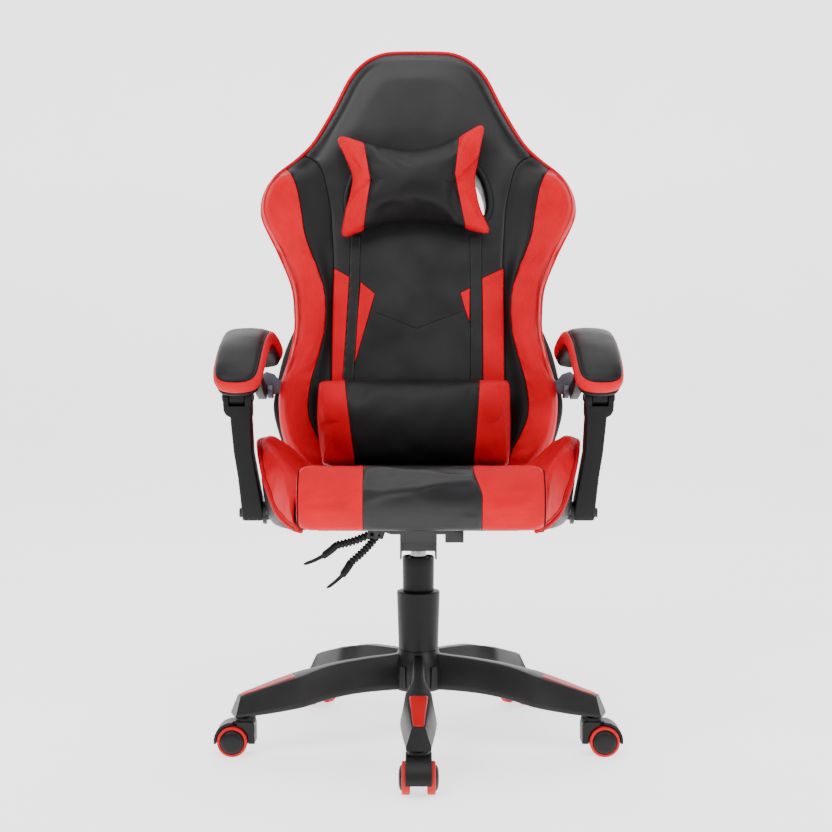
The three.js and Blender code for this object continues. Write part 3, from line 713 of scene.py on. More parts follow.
# how far the rings of a panel lie from its edge, as a share of the way
COLUMNS = [0, 0.02, 0.045, 0.08, 0.12, 0.17, 0.23, 0.3, 0.38, 0.46, 0.54, 0.62, 0.7, 0.77, 0.83, 0.88, 0.92,
           0.955, 0.98, 1]
RINGS = [0, 0.012, 0.03, 0.055, 0.085, 0.12, 0.16, 0.21, 0.27, 0.34, 0.42, 0.5, 0.58, 0.66, 0.74, 0.82, 0.9,
         0.96, 1]


def valley(line, side):
    """The groove of a seam line on one side of the back."""
    return (line[::4] * [side, 1], *SEAM_GROOVE)


MIDDLE_SEAMS = [valley(seam_line, side) for side in (-1, 1)]


def strip(name, inner, outer, low, high, side, material, seams):
    """A panel between two edge lines, from one height to another."""
    u = np.linspace(low, high, int((high - low) / 7))
    a, b = width_at(inner, u), width_at(outer, u)
    b = np.maximum(b, a + 0.3)
    rings = [np.stack([side * (b + (a - b) * f), u], 1) for f in COLUMNS]
    flat, faces = skin(rings, closed=False, caps=False)
    return patch_piece(name, flat, faces, material, seams)


def inset_line(line, inset, low, high, count=200):
    """The outline moved in by inset, between two heights."""
    part = line[(line[:, 1] > low) & (line[:, 1] < high)]
    t = np.gradient(part, axis=0)
    n = np.stack([t[:, 1], -t[:, 0]], 1) / (np.linalg.norm(t, axis=1)[:, None] + 1e-9)
    n *= np.where(n[:, :1] > 0, -1, 1)
    return spline(part[::6] + n[::6] * inset, count)


def surface_path(line, lift, seams=()):
    """A path on the front of the back over a flat line, out by lift."""
    x, u = line[:, 0], line[:, 1]
    return from_back(np.stack([x, patch_depth(x, u, seams) - lift, u], 1))


def build_back_front():
    """The leather of the front: the middle and head panel, the side panels and the wings."""
    head = half_outline[half_outline[:, 1] > HEAD_FROM]
    side = seam_line[seam_line[:, 1] <= HEAD_FROM]
    right = np.vstack([head[::3], side[::4]])
    base = np.stack([np.linspace(side[-1, 0], 0, 14)[1:-1], np.full(12, side[-1, 1])], 1)
    half = np.vstack([right, base])
    loop = np.vstack([half, mirror_line(half[::-1][:-1])])
    flat, faces = cut_slots(*ring_patch(loop, 90, 700, RINGS))
    dart = (np.array([(-81, 306), (-4, 273), (76, 305)]), 2.2, 1.1)
    middle = patch_piece("back_middle_panel", flat, faces, BLACK_LEATHER, MIDDLE_SEAMS + [dart])
    soft(subdivided(middle), "back", "black_leather", 0.6, "back_cushion")
    shoulder = half_outline[(half_outline[:, 1] > WING_TOP) & (half_outline[:, 1] < 640)]
    panel_edge = np.vstack([wing_line, shoulder])
    stitched = inset_line(half_outline, 11, 14, 590)
    welt = inset_line(half_outline, 8.2, 14, 566)
    for side, tag in SIDES:
        seams = [valley(seam_line, side), valley(wing_line, side)]
        # the side panels take the darker, duller leather as painted shade
        panel = strip(f"back_side_panel_{tag}", seam_line, panel_edge, 8, 601, side, SHADE_DARKENED_LEATHER, seams)
        soft(subdivided(panel), "back", "black_leather", 0.6)
        fold = (stitched[::3] * [side, 1], 2.6, 2.0)
        wing = strip(f"back_wing_{tag}_cover", wing_line, side_part, 9, 577, side, RED_LEATHER,
                     [seams[1], fold])
        puff(wing, open_rim(wing), 3.0, 0.015, cap=3.0)
        soft(subdivided(wing), "back", "red_leather", 0.7, f"back_wing_{tag}")
        path = surface_path(stitched * [side, 1], 0.3, [fold])
        stitches(f"wing_stitches_{tag}", path, "back", THREAD_RED)
        path = surface_path(welt * [side, 1], 0.9)
        cord(f"wing_welt_{tag}", path, 1.7, "back", 8, material=PIPING_RED)
        for line, label in ((seam_line, "panel"), (wing_line, "wing")):
            below = line[line[:, 1] < 600][::3]
            path = surface_path(below * [side, 1], 0.5, [valley(line, side)])
            cord(f"{label}_seam_{tag}", path, 0.6, "back")


# ---- back: coloured stripes, piping, slots and rear shell -----------------------------
# corners (x, height) of the red panels and of the lumbar pillow's straps
STRIPES = {
    "outer_right": [(-155, 385), (-125, 368), (-131, 262), (-135, 179), (-137, 20), (-159, 20), (-158, 179),
                    (-157, 300)],
    "outer_left": [(157, 385), (117, 366), (118, 262), (118, 20), (157, 20), (157, 179), (157, 300)],
    "shard_right": [(-106, 360), (-79, 337), (-92, 290), (-116, 205), (-113, 270)],
    "shard_left": [(95, 348), (77, 339), (84, 312), (94, 283)],
}
BANDS = {
    "right": [(-124, 446), (-106, 446), (-108, 350), (-113, 262), (-118, 178), (-120, 100), (-139, 100),
              (-138, 178), (-132, 262), (-127, 350)],
    "left": [(95.5, 446), (116.5, 446), (116.5, 100), (95.5, 100)],
}


PATCH_EDGE = 6.0


def flat_patch(name, corners, material, lift):
    """A thin panel of leather laid on the front of the back, its rim sewn down."""
    mesh = bpy.data.meshes.new(name)
    bm = bmesh.new()
    bm.faces.new([bm.verts.new((x, u, 0)) for x, u in corners])
    bmesh.ops.triangulate(bm, faces=bm.faces)
    for _ in range(7):
        long = [e for e in bm.edges if e.calc_length() > PATCH_EDGE]
        bmesh.ops.subdivide_edges(bm, edges=long, cuts=1)
        bmesh.ops.triangulate(bm, faces=bm.faces)
    bmesh.ops.beautify_fill(bm, faces=bm.faces, edges=bm.edges)
    bm.to_mesh(mesh)
    rim = np.array([v.is_boundary for v in bm.verts])
    bm.free()
    co = np.array([v.co for v in mesh.vertices])
    faces = [tuple(p.vertices) for p in mesh.polygons]
    d = patch_depth(co[:, 0], co[:, 1], MIDDLE_SEAMS) - np.where(rim, lift * 0.2, lift)
    return solid(name, (from_back(np.stack([co[:, 0], d, co[:, 1]], 1)), faces), material)


def outlined(corners, count):
    """Points along the sides of a closed polygon."""
    c = np.array(corners, float)
    return np.vstack([np.linspace(a, b, count, endpoint=False) for a, b in zip(c, np.roll(c, -1, 0))])


def build_stripes():
    """The red panels and the straps on the front, each with a seam round it, and the chevron."""
    for label, corners in STRIPES.items():
        soft(flat_patch(f"stripe_{label}", corners, RED_LEATHER, 0.9), "back", "red_leather", 0.3)
        path = surface_path(outlined(corners, 36), 0.45)
        cord(f"stripe_seam_{label}", path, 0.5, "back", 5, True)
    for tag, corners in BANDS.items():
        soft(flat_patch(f"pillow_strap_{tag}", corners, BLACK_LEATHER, 1.3), "back", "black_leather", 0.2)
        path = surface_path(outlined(corners, 40), 0.75)
        cord(f"pillow_strap_edge_{tag}", path, 0.5, "back", 5, True)
    rising = np.linspace((-4, 273), (90, 308), 30)
    chevron = np.vstack([np.linspace((-78, 303), (-4, 273), 26), rising[1:]])
    cord("chevron_seam", surface_path(chevron, -0.5), 0.5, "back")


def build_piping():
    """The red piping round the back; it moves in from the edge below the head panel."""
    full = np.vstack([half_outline[::2], mirror_line(half_outline[::-1][1:-1:2])])
    inset = -0.6 + 2.8 * smooth((610 - full[:, 1]) / 60)
    full = full + inward(full, BACK_CENTRE) * inset[:, None]
    path = from_back(np.stack([full[:, 0], np.full(len(full), PIPING_DEPTH), full[:, 1]], 1))
    cord("back_piping", path, 4.0, "back", 10, True, PIPING_RED)


# rings of a slot trim: growth past the slot, then height off the front, or depth at the rear
TRIM_FRONT = ((6.5, -0.6), (6, 1.6), (3.5, 3.2), (-1, 3.4), (-5, 2.0), (-8, -2.5), (-9, -10))
TRIM_REAR = ((-9, 20), (-8, 30), (-5, 35.5), (-1, 37), (3.5, 36.6), (6, 35.2), (6.5, 33))


def slot_trims():
    """A moulded ring through each strap slot, from the front of the back to its rear."""
    for side, tag in SIDES:
        front = front_depth(*slot_loop(side, 2).T)
        depths = [(grow, front - lift) for grow, lift in TRIM_FRONT]
        depths += [(grow, np.full(len(front), depth)) for grow, depth in TRIM_REAR]
        rings = []
        for grow, depth in depths:
            ring = slot_loop(side, grow)
            rings.append(from_back(np.column_stack([ring[:, 0], depth, ring[:, 1]])))
        trim = solid(f"slot_trim_{tag}", skin(rings, caps=False), CAP_BLACK)
        place(trim, "back", "black_leather")


SHELL_REAR = 34.0


# inset from the outline and depth of the rings at the rim of the rear shell
SHELL_RIM = [(16, -25), (6, -26), (1.5, -25), (0, -18), (-0.6, -6), (0, 6), (3, 16), (9, 24.5), (18, 30.5),
             (30, 33.4)]


def build_shell():
    """The rear cover of the back, from behind the piping to a slightly crowned middle."""
    half = shell_half[::4]
    loop = np.vstack([half, mirror_line(half[::-1][1:-1])])
    n = inward(loop, BACK_CENTRE)
    rings = [np.column_stack([loop + n * inset, np.full(len(loop), float(d))]) for inset, d in SHELL_RIM]
    inner = loop + n * SHELL_RIM[-1][0]
    target = np.stack([np.zeros(len(loop)), np.clip(inner[:, 1], 110, 690)], 1)
    for f in (0.08, 0.18, 0.3, 0.42, 0.54, 0.66, 0.78, 0.9, 1.0):
        p = inner + (target - inner) * f
        rings.append(np.column_stack([p, np.full(len(p), SHELL_REAR + 1.2 * f)]))
    points, faces = skin(rings, caps=False)
    points, faces = cut_slots(points, faces, points[:, 2] > 30)
    shell = solid("back_shell_cover", (from_back(points[:, [0, 2, 1]]), faces), BACK_LEATHER)
    soft(subdivided(shell), "back", "black_leather", 0.5, "back_shell")
    band = inset_line(shell_half, 46, 60, 770)
    for side, tag in SIDES:
        path = from_back([(side * x, SHELL_REAR + 0.6, u) for x, u in band])
        cord(f"rear_seam_{tag}", path, 0.9, "back")
        row = from_back([(side * (x - 4), SHELL_REAR + 0.9, u) for x, u in band])
        stitches(f"rear_stitches_{tag}", row, "back", THREAD_BLACK)


build_back_front()
build_stripes()
build_piping()
slot_trims()
build_shell()


# ---- pillows --------------------------------------------------------------------------
# outlines and panel seams in (x, height) of the back
HEAD_OUTLINE = [(-149, 625), (-140, 627), (-105, 616), (-60, 605), (-2, 599), (45, 611), (84, 631),
                (115, 649), (123, 646), (119, 618), (109, 566), (105, 543), (109, 516), (122, 471),
                (133, 445), (126, 437), (92, 446), (40, 458), (-7, 462), (-60, 455), (-105, 442),
                (-133, 431), (-142, 438), (-135, 481), (-124, 526), (-123, 551), (-135, 586), (-149, 616)]
HEAD_CHEVRONS = [[(-106, 650), (-86, 534), (-106, 400)], [(79, 660), (66, 546), (96, 400)]]
LUMBAR_OUTLINE = [(-170, 174), (-90, 177), (-8, 178), (75, 177), (154, 175), (164, 167), (167, 95), (163, 24),
                  (154, 15), (75, 12), (-8, 11), (-90, 12), (-163, 16), (-173, 30), (-182, 95), (-180, 166)]
LUMBAR_ENDS = [[(-132, 180), (-110, 10)], [(110, 180), (97, 10)]]
# depths of the rear, the sewn edge and the front; the middle, the half length of its spine, and the
# power that fills the membrane out
HEAD_PILLOW = {"back": -64.0, "mid": -84.0, "front": -126.0, "centre": (-8, 533), "spine": 78, "fill": 0.55}
LUMBAR_PILLOW = {"back": -72.0, "mid": -94.0, "front": -139.0, "centre": (-8, 93), "spine": 140, "fill": 0.42}
EDGE_POINTS = 600


def pillow_edges(outline, centre, count):
    """Upper and lower edge of a closed outline, both from its left end to its right end."""
    dense = spline(outline, EDGE_POINTS, closed=True)

    def end(side):
        """Index of the outline's point on one side that is level with the centre."""
        wrong = (dense[:, 0] - centre[0]) * side < 0
        return int(np.argmin(np.abs(dense[:, 1] - centre[1]) + 1e3 * wrong))
    left = end(-1)
    loop = np.roll(dense, -left, 0)
    turn = (end(1) - left) % EDGE_POINTS
    lower = np.vstack([loop[turn:], loop[:1]])[::-1]
    return [spline(np.vstack([e[:-1:5], e[-1:]]), count) for e in (loop[:turn + 1], lower)]


def pillow_shape(name, outline, size):
    """A stuffed pillow: two sheets sewn together along their outline."""
    cx, cu = size["centre"]
    upper, lower = pillow_edges(outline, size["centre"], 60)
    spine = np.clip((upper[:, 0] + lower[:, 0]) / 2, cx - size["spine"], cx + size["spine"])
    loop = np.vstack([upper, lower[::-1][1:-1]])
    core = np.column_stack([np.concatenate([spine, spine[::-1][1:-1]]), np.full(len(loop), cu)])
    fractions = 1 - (1 - np.linspace(0, 1, 14)) ** 1.6
    flat, faces = welded(*skin([loop + (core - loop) * f for f in fractions], caps=False))
    edges = np.sort(np.array([(f[k - 1], f[k]) for f in faces for k in range(len(f))]), 1)
    pairs, uses = np.unique(edges, axis=0, return_counts=True)
    h = membrane(flat, faces, np.unique(pairs[uses == 1])) ** size["fill"]
    sheets = [np.column_stack([flat[:, 0], size["mid"] + (size[key] - size["mid"]) * h, flat[:, 1]])
              for key in ("front", "back")]
    rear = [tuple(i + len(flat) for i in f[::-1]) for f in faces]
    points, faces = welded(np.vstack(sheets), faces + rear)
    # the black of the pillows is the darker, duller leather, as painted shade
    return solid(name, (from_back(points), faces), [SHADE_DARKENED_LEATHER, RED_LEATHER])


def back_plane(a, b):
    """A plane through two points (x, u) of the back's frame, along its depth: point and normal."""
    (x0, u0), (x1, u1) = a, b
    p0, p1, q = from_back([(x0, 0, u0), (x1, 0, u1), (x0, 50, u0)])
    normal = np.cross(p1 - p0, q - p0)
    normal /= np.linalg.norm(normal)
    if normal[0] < 0:
        normal = -normal
    return p0, normal


def bisect(bm, faces, point, normal):
    """Cuts the given faces along a plane; the point is in millimetres."""
    verts, edges = {v for f in faces for v in f.verts}, {e for f in faces for e in f.edges}
    bmesh.ops.bisect_plane(bm, geom=list(verts) + list(edges) + faces, plane_co=point * MM, plane_no=normal)


def red_ends(obj, boundaries):
    """Cuts the mesh along the panel boundaries and makes the faces outside them red."""
    def work(bm):
        for line in boundaries:
            for a, b in zip(line[:-1], line[1:]):
                low, high = sorted((a[1], b[1]))
                if len(line) > 2:            # a level cut at the chevron's point
                    tip = line[1]
                    near = [f for f in bm.faces if abs(f.calc_center_median().x / MM - tip[0]) < 3.5]
                    bisect(bm, near, from_back([(0, 0, tip[1])])[0], (0, SIN, COS))
                p, n = back_plane(a, b)
                faces = [f for f in bm.faces if low <= height_of(f.calc_center_median()) <= high]
                bisect(bm, faces, p, n)
        left, right = (np.array(line[::-1], float) for line in boundaries)
        for f in bm.faces:
            c = f.calc_center_median()
            u, x = height_of(c), c.x / MM
            inside = np.interp(u, left[:, 1], left[:, 0]) <= x <= np.interp(u, right[:, 1], right[:, 0])
            f.material_index = 0 if inside else 1
    return edit(obj, work)


def sink_seams(obj, boundaries, width, depth):
    """Draws the surface in along panel boundaries, as a sewn seam does."""
    co = np.array([v.co for v in obj.data.vertices])
    no = np.array([v.normal for v in obj.data.vertices])
    flat = np.stack([co[:, 0] / MM, height_of(co.T)], 1)
    for line in boundaries:
        distance = line_distance(flat, np.array(line, float))
        co = co - no * (groove(distance, width, depth) * MM)[:, None]
    obj.data.vertices.foreach_set("co", co.ravel())
    obj.data.update()


def finish_pillow(obj, boundaries, node, wear):
    """The sewn look of a stuffed pillow: uneven leather, sunk seams and red ends."""
    subdivided(obj)
    crumpled(obj, 38, wear, 3.0)
    sink_seams(obj, boundaries, 3.0, 1.6)
    red_ends(obj, boundaries)
    soft(obj, node, "black_leather", 0.75, node)
    tree = piece_bvh(obj)
    for k, line in enumerate(boundaries):
        dense = np.vstack([np.linspace(a, b, 40) for a, b in zip(line[:-1], line[1:])])
        start = from_back(np.column_stack([dense[:, 0], np.full(len(dense), -300.0), dense[:, 1]]))
        path = dropped(tree, start, (0, COS, -SIN), -0.2)
        cord(f"{node}_seam_{k}", path, 0.55, node, 5)


def against_back(obj, depth):
    """Vertices of a pillow on the side that rests on the back."""
    return [i for i, v in enumerate(obj.data.vertices) if depth_of(v.co) > depth - 1]


def build_pillows():
    head = pillow_shape("head_pillow_cover", HEAD_OUTLINE, HEAD_PILLOW)
    puff(head, against_back(head, HEAD_PILLOW["mid"]), 2.5, 0.03, cap=5.0, bend=0.2)
    finish_pillow(head, HEAD_CHEVRONS, "head_pillow", 1.8)
    lumbar = pillow_shape("lumbar_pillow_cover", LUMBAR_OUTLINE, LUMBAR_PILLOW)
    puff(lumbar, against_back(lumbar, LUMBAR_PILLOW["mid"]), 2.0, 0.012, cap=2.5, bend=0.6)
    finish_pillow(lumbar, LUMBAR_ENDS, "lumbar_pillow", 1.0)
    build_head_strap()


STRAP_LOW, STRAP_HIGH, STRAP_HALF = 514, 539, 1.1
# (x, depth) of half the strap, from under the pillow to the middle of the rear
STRAP_PATH = [(70, -68), (90, -68), (99, -65), (103.5, -58), (104, -46), (104, -20), (104, 20), (103.8, 32),
              (102, 38), (97, 40.6), (86, 41.2), (70, 41.2), (0, 41.2)]


def build_head_strap():
    """The woven strap of the head pillow: out through one slot, across the rear and back.

    Within the slots it leans as they do."""
    half = spline(STRAP_PATH, 60)
    path = np.vstack([half, (half[::-1] * [-1, 1])[1:]])
    t = np.gradient(path, axis=0)
    n = np.stack([-t[:, 1], t[:, 0]], 1) / np.linalg.norm(t, axis=1)[:, None] * STRAP_HALF
    rings = []
    for p, q in zip(path, n):
        lean = math.tan(SLOT["tilt"]) * float(smooth((abs(p[0]) - 78) / 18)) * np.sign(p[0])
        corners = [(p - q, STRAP_LOW), (p - q, STRAP_HIGH), (p + q, STRAP_HIGH), (p + q, STRAP_LOW)]
        rings.append(from_back([(c[0] - lean * (u - SLOT["u"]), c[1], u) for c, u in corners]))
    strap = solid("head_strap_woven", skin(rings), WEBBING, 35)
    place(strap, "head_pillow", "webbing", "head_strap")


build_pillows()


# ---- seat -----------------------------------------------------------------------------
# section (y, z) of the roll across the front of the seat
ROLL_PROFILE = [(-232, 388), (-247, 388.5), (-259, 394), (-266.5, 406), (-270, 421), (-270.3, 436),
                (-267.5, 451), (-261.5, 465), (-253, 476), (-243, 483.5), (-232, 487), (-221, 486),
                (-212, 480), (-208, 466), (-208, 440), (-210, 412), (-219, 396)]
ROLL_ENDS = (-188.0, 196.0)
ROLL_CENTRE = np.array([-240.0, 436.0])
BAND_LEFT, BAND_RIGHT = -85.0, 84.0    # x of the black band's seams on the seat


def band_right(z):
    """The right-hand seam of the black band bows out towards the front."""
    return BAND_RIGHT + 13 * smooth((487 - z) / 45)


def build_roll():
    """The padded roll across the front, black between two seams and red outside them."""
    ring = spline(ROLL_PROFILE, 64, closed=True)
    left, right = ROLL_ENDS
    turn = np.array([0, 1, 3, 6.5, 12, 20])
    xs = np.concatenate([left + turn, np.linspace(-158, -95, 9), [-90, -87, BAND_LEFT, -83, -80],
                         np.linspace(-72, 72, 18), [79, 82, BAND_RIGHT, 86, 89], np.linspace(97, 166, 9),
                         right - turn[::-1]])
    rings = []
    for x in xs:
        end = min(x - left, right - x)
        shrink = 1 - 0.3 * (1 - dome(end / 23))
        p = ROLL_CENTRE + (ring - ROLL_CENTRE) * shrink
        bow = (band_right(p[:, 1]) - BAND_RIGHT) * math.exp(-((x - BAND_RIGHT) / 60) ** 2)
        shift = bow if x > 60 else 0 * bow
        pull = groove(abs(x - BAND_LEFT), 2.6, 0.028) + groove(abs(x - BAND_RIGHT), 2.6, 0.028)
        p = ROLL_CENTRE + (p - ROLL_CENTRE) * (1 - pull)
        rings.append(np.column_stack([np.full(len(p), x) + shift, p[:, 0], p[:, 1]]))
    points, faces = skin(rings)
    n, count = len(ring), len(xs)
    slots = [0 if BAND_LEFT <= xs[k // n] < BAND_RIGHT else 1 for k in range((count - 1) * n)] + [0, 0]
    roll = mesh_piece("seat_front_roll", points, faces, [BLACK_LEATHER, RED_LEATHER], slots)
    sewn = [k < 3 or k > count - 4 or min(abs(x - BAND_LEFT), abs(x - BAND_RIGHT)) < 1
            for k, x in enumerate(xs)]
    pins = [k * n + i for k in range(count) for i in range(n)
            if sewn[k] or ring[i, 1] < 396 or ring[i, 0] > -215]
    puff(roll, pins, 2.0, 0.012, cap=1.4)
    soft(subdivided(roll), "seat", "black_leather", 0.8, "seat_cushion")
    for k, x in enumerate((BAND_LEFT, BAND_RIGHT)):
        cord(f"roll_seam_{k}", rings[int(np.argmin(np.abs(xs - x)))], 0.6, "seat", 5, True)
    for tag, j in (("right", 2), ("left", count - 3)):
        cord(f"roll_welt_{tag}", rings[j], 1.2, "seat", 6, True)


PAN_LOW, PAN_HALF, PAN_FRONT, PAN_REAR = 413.0, 165.5, -212.0, 121.0


def pan_rise(y):
    """The seat rises towards its front roll."""
    return 16 * smooth((-150 - y) / 60)


def build_pan():
    """The top of the seat between the bolsters: crowned, with two sewn channels across it."""
    xs, ys = np.linspace(-PAN_HALF, PAN_HALF, 45), np.linspace(PAN_FRONT, PAN_REAR, 47)
    x, y = (a.ravel() for a in np.meshgrid(xs, ys))
    side = np.minimum(PAN_HALF - np.abs(x), 40)
    end = np.minimum(np.minimum(y - PAN_FRONT, PAN_REAR - y), 30)
    z = 452 + 9 * dome(side / 40) + 4 * dome(end / 30) + pan_rise(y)
    z -= groove(np.abs(x - BAND_LEFT), 3, 2.5) + groove(np.abs(x - BAND_RIGHT), 3, 2.5)
    for channel in (-60, 40):
        z -= groove(np.abs(y - channel), 4, 3.0)
    n, m = len(xs), len(ys)
    top = np.column_stack([x, y, z])
    faces = skin(top.reshape(m, n, 3), closed=False, caps=False)[1]
    rim = list(range(n)) + [r * n + n - 1 for r in range(1, m)] + \
        [(m - 1) * n + c for c in range(n - 2, -1, -1)] + [r * n for r in range(m - 2, 0, -1)]
    start = len(top)
    faces += [tuple(start + i for i in f[::-1]) for f in faces]
    faces += [(rim[i - 1], rim[i], start + rim[i], start + rim[i - 1]) for i in range(len(rim))]
    bottom = np.column_stack([top[:, :2], np.full(start, PAN_LOW)])
    pan = solid("seat_pan_cover", (np.vstack([top, bottom]), faces), BLACK_LEATHER)
    soft(subdivided(pan), "seat", "black_leather", 0.7, "seat_cushion")
    for x in (BAND_LEFT, BAND_RIGHT):
        row = [(x + 4, y, 462.6 + pan_rise(y)) for y in np.linspace(-195, 110, 40)]
        stitches(f"pan_stitches_{int(x + 100)}", row, "seat", THREAD_BLACK)


# seat bolster stations: y, bottom z, bottom x, welt x, z, crest x, z, inner shoulder x, z
BOLSTER = [(-238, 384.5, 184, 181, 386, 188, 393, 192.6, 396), (-225, 384, 196, 193, 388, 197, 412, 194, 420),
           (-205, 383.5, 208, 207, 394, 206, 440, 194, 447), (-180, 383, 220, 224, 408, 214, 466, 192, 462),
           (-150, 384, 233, 238, 431, 223, 488, 188, 466), (-125, 388, 243, 249, 455, 231, 501, 190, 467),
           (-100, 396, 250, 258, 484, 239, 511, 193, 468), (-75, 403, 253, 264, 509, 246, 517, 196, 468),
           (-50, 404, 253, 266, 515, 248, 518.5, 197, 468), (-10, 404, 253, 266, 515, 248, 518.5, 197, 468),
           (45, 404, 252, 265.5, 513, 246, 516, 196, 467), (90, 404, 250, 264, 508, 244, 511, 195, 466),
           (119, 404, 246, 259, 500, 240, 504, 194, 464)]
RED_FROM, RED_TO = 3, 17               # points of a section between the welt and the seat


def bolster_section(y, low, out, wx, wz, cx, cz, sx, sz):
    """Closed section of the bolster: its side, the welt, the crest and the slope to the seat."""
    inner = 167.2 + 25.6 * float(smooth((-206 - y) / 9))
    top = spline([(wx, wz), ((wx + cx) / 2 + 2, (wz + cz) / 2 + 5), (cx, cz),
                  ((cx + sx) / 2 + 5, (cz + sz) / 2 + 5), (sx, sz), ((sx + inner) / 2, sz - 3),
                  (inner + 1, sz - 5)], RED_TO - RED_FROM + 1)
    side = [(out - 4, low), (out, low + 4), ((out + wx) / 2 + 1, (low + wz) / 2)]
    inside = [(inner, (low + sz) / 2), (inner, low + 3), (inner + 3, low)]
    ring = np.vstack([side, top, inside])
    return np.column_stack([ring[:, 0], np.full(len(ring), y), ring[:, 1]])


def build_bolsters():
    """The raised sides of the seat, red from their piping over the crest to the seat."""
    rings = np.array([bolster_section(*row) for row in spline(BOLSTER, 60)])
    n, count = rings.shape[1], len(rings)
    red = slice(RED_FROM, RED_TO + 1)
    slots = [1 if RED_FROM <= k % n < RED_TO else 0 for k in range((count - 1) * n)] + [1, 0]
    held = [k * n + i for k in range(count) for i in range(n)
            if i <= RED_FROM or i >= RED_TO - 3 or k in (0, count - 1)]
    for side, tag in SIDES:
        r = rings * [side, 1, 1]
        points, faces = skin(list(r))
        name = f"seat_bolster_{tag}"
        body = mesh_piece(f"{name}_cover", points, faces, [BLACK_LEATHER, RED_LEATHER], slots)
        puff(body, held, 2.0, 0.012, cap=3.0)
        soft(crumpled(subdivided(tidy(body)), 55, 0.8, side), "seat", "red_leather", 0.8, name)
        welt = r[:, RED_FROM] + [side * 0.2, 0, 0]
        cord(f"bolster_piping_{tag}", welt, 3.6, "seat", 10, material=PIPING_RED)
        row = np.array([[np.interp(9.0, lengths(q), q[:, k]) for k in range(3)] for q in r[:, red]])
        path = snapped(piece_bvh(body), row, 0.1)
        stitches(f"bolster_stitches_{tag}", path + [-side * 1.8, 0, 0.6], "seat", THREAD_RED)
        cord(f"bolster_seam_{tag}", path, 0.7, "seat", material=SEAM_RED)


build_roll()
build_pan()
build_bolsters()


# ---- armrests -------------------------------------------------------------------------
# (y, z) of the pad's crown line, and half its outline in plan (across, along)
PAD_ARCH = [(-243, 615), (-236, 622), (-222, 633.5), (-200, 649), (-150, 675), (-100, 691.5), (-50, 700.5),
            (0, 702), (40, 695.5), (72, 683), (95, 668), (107, 657)]
PAD_PLAN = [(0, 0), (14, 1.5), (26, 7), (34, 18), (37.5, 34), (39, 70), (39.5, 140), (40, 220), (40, 280),
            (42, 330), (41, 356), (33, 374), (18, 384), (0, 386)]
PAD_X, PAD_LONG = 282.0, 386.0
# inset from the pad's outline, height off its crown line
PAD_UNDER = [(12, -27.2), (5, -26.8)]
PAD_BAND = [(1.0, -24.6), (-0.9, -19), (-1.0, -14), (-0.4, -10), (1.2, -6.6), (3.4, -4.4), (5.2, -4.0)]
PAD_TOP = [(6.0, -4.2), (7.0, -2.9), (10.0, -1.0), (16, 0.6), (24, 1.6)]
PAD_PINNED = (0, 1, 2, 3, 8, 9, 10, 11)  # rings that the cloth leaves where they are
TRAY = [(4.5, -27.6), (3.2, -29.5), (4.5, -34), (10, -36.8), (16, -37.2)]


def pad_frame():
    """Outline of the pad in plan, its inward normals, its spine, and the map to the arched pad."""
    arch = spline(PAD_ARCH, 300)
    length = lengths(arch)
    long = length[-1]
    t = np.gradient(arch, axis=0)
    t /= np.linalg.norm(t, axis=1)[:, None]
    half = spline(np.array(PAD_PLAN) * [1, long / PAD_LONG], 70)
    loop = np.vstack([half, half[::-1][1:-1] * [-1, 1]])

    def at(p, h):
        y, z, ty, tz = (np.interp(p[:, 1], length, v) for v in (arch[:, 0], arch[:, 1], t[:, 0], t[:, 1]))
        lean = -5 * smooth(p[:, 1] / long * 5 - 4)
        return np.column_stack([PAD_X + p[:, 0] + lean, y - tz * h, z + ty * h])
    spine = np.stack([np.zeros(len(loop)), np.clip(loop[:, 1], 40, long - 42)], 1)
    return loop, inward(loop, [0, long / 2]), spine, at


def build_pad(side, tag):
    """The padded arm rest with its red band and black panel, and the moulded tray under it."""
    loop, n, spine, at = pad_frame()
    body, count = f"armrest_{tag}", len(loop)
    rings = [at(spine, -27.2)]
    rings += [at(loop + n * inset, h) for inset, h in PAD_UNDER + PAD_BAND]
    outward = [3.4, 0]                       # the black panel sits nearer the outer edge
    rings += [at(loop + n * inset + outward, h) for inset, h in PAD_TOP]
    inner = loop + n * PAD_TOP[-1][0] + outward
    rings += [at(inner + (spine - inner) * f, 1.6 + 0.8 * f) for f in (0.3, 0.65, 1.0)]
    points, faces = skin([q * [side, 1, 1] for q in rings], caps=False)
    red = range(len(PAD_UNDER), len(PAD_UNDER) + len(PAD_BAND))
    slots = [1 if k // count in red else 0 for k in range(len(faces))]
    # the black top of the pad is the darker, duller leather, as painted shade
    pad = mesh_piece(f"arm_pad_{tag}_cover", points, faces, [SHADE_DARKENED_LEATHER, RED_LEATHER], slots)
    puff(pad, [k * count + i for k in PAD_PINNED for i in range(count)], 1.6, 0.012, cap=2.0)
    soft(crumpled(subdivided(tidy(pad)), 45, 0.7, side), body, "black_leather", 0.8, f"arm_pad_{tag}")
    seam = at(loop + n * 5.7 + [1.7, 0], -3.9) * [side, 1, 1]
    cord(f"arm_pad_seam_{tag}", seam, 0.7, body, 5, True)
    tray = [at(spine, -27.6)] + [at(loop + n * inset, h) for inset, h in TRAY] + [at(spine, -37.2)]
    shape = skin([q * [side, 1, 1] for q in tray], caps=False)
    place(solid(f"arm_tray_{tag}", shape, ARM_PLASTIC), body, "arm_plastic", f"arm_base_{tag}")


# (y, z) of the pivots: upright on seat, armrest on upright, armrest on back
PIVOT_A, PIVOT_B, PIVOT_C = (-75.0, 398.0), (-115.0, 590.0), (165.0, 592.0)


def plate(name, outline, low, high, material, bevel, axis=0):
    """A flat plate with rounded edges: an outline in the two other axes, from low to high along axis."""
    rings = [np.insert(np.array(outline, float), axis, level, axis=1) for level in (low, high)]
    return bevelled(solid(name, skin(rings), material), bevel)


def side_plate(name, outline, span, side, material, bevel):
    """A plate in the (y, z) plane between two distances from the middle of the chair."""
    low, high = sorted((side * span[0], side * span[1]))
    return plate(name, outline, low, high, material, bevel)


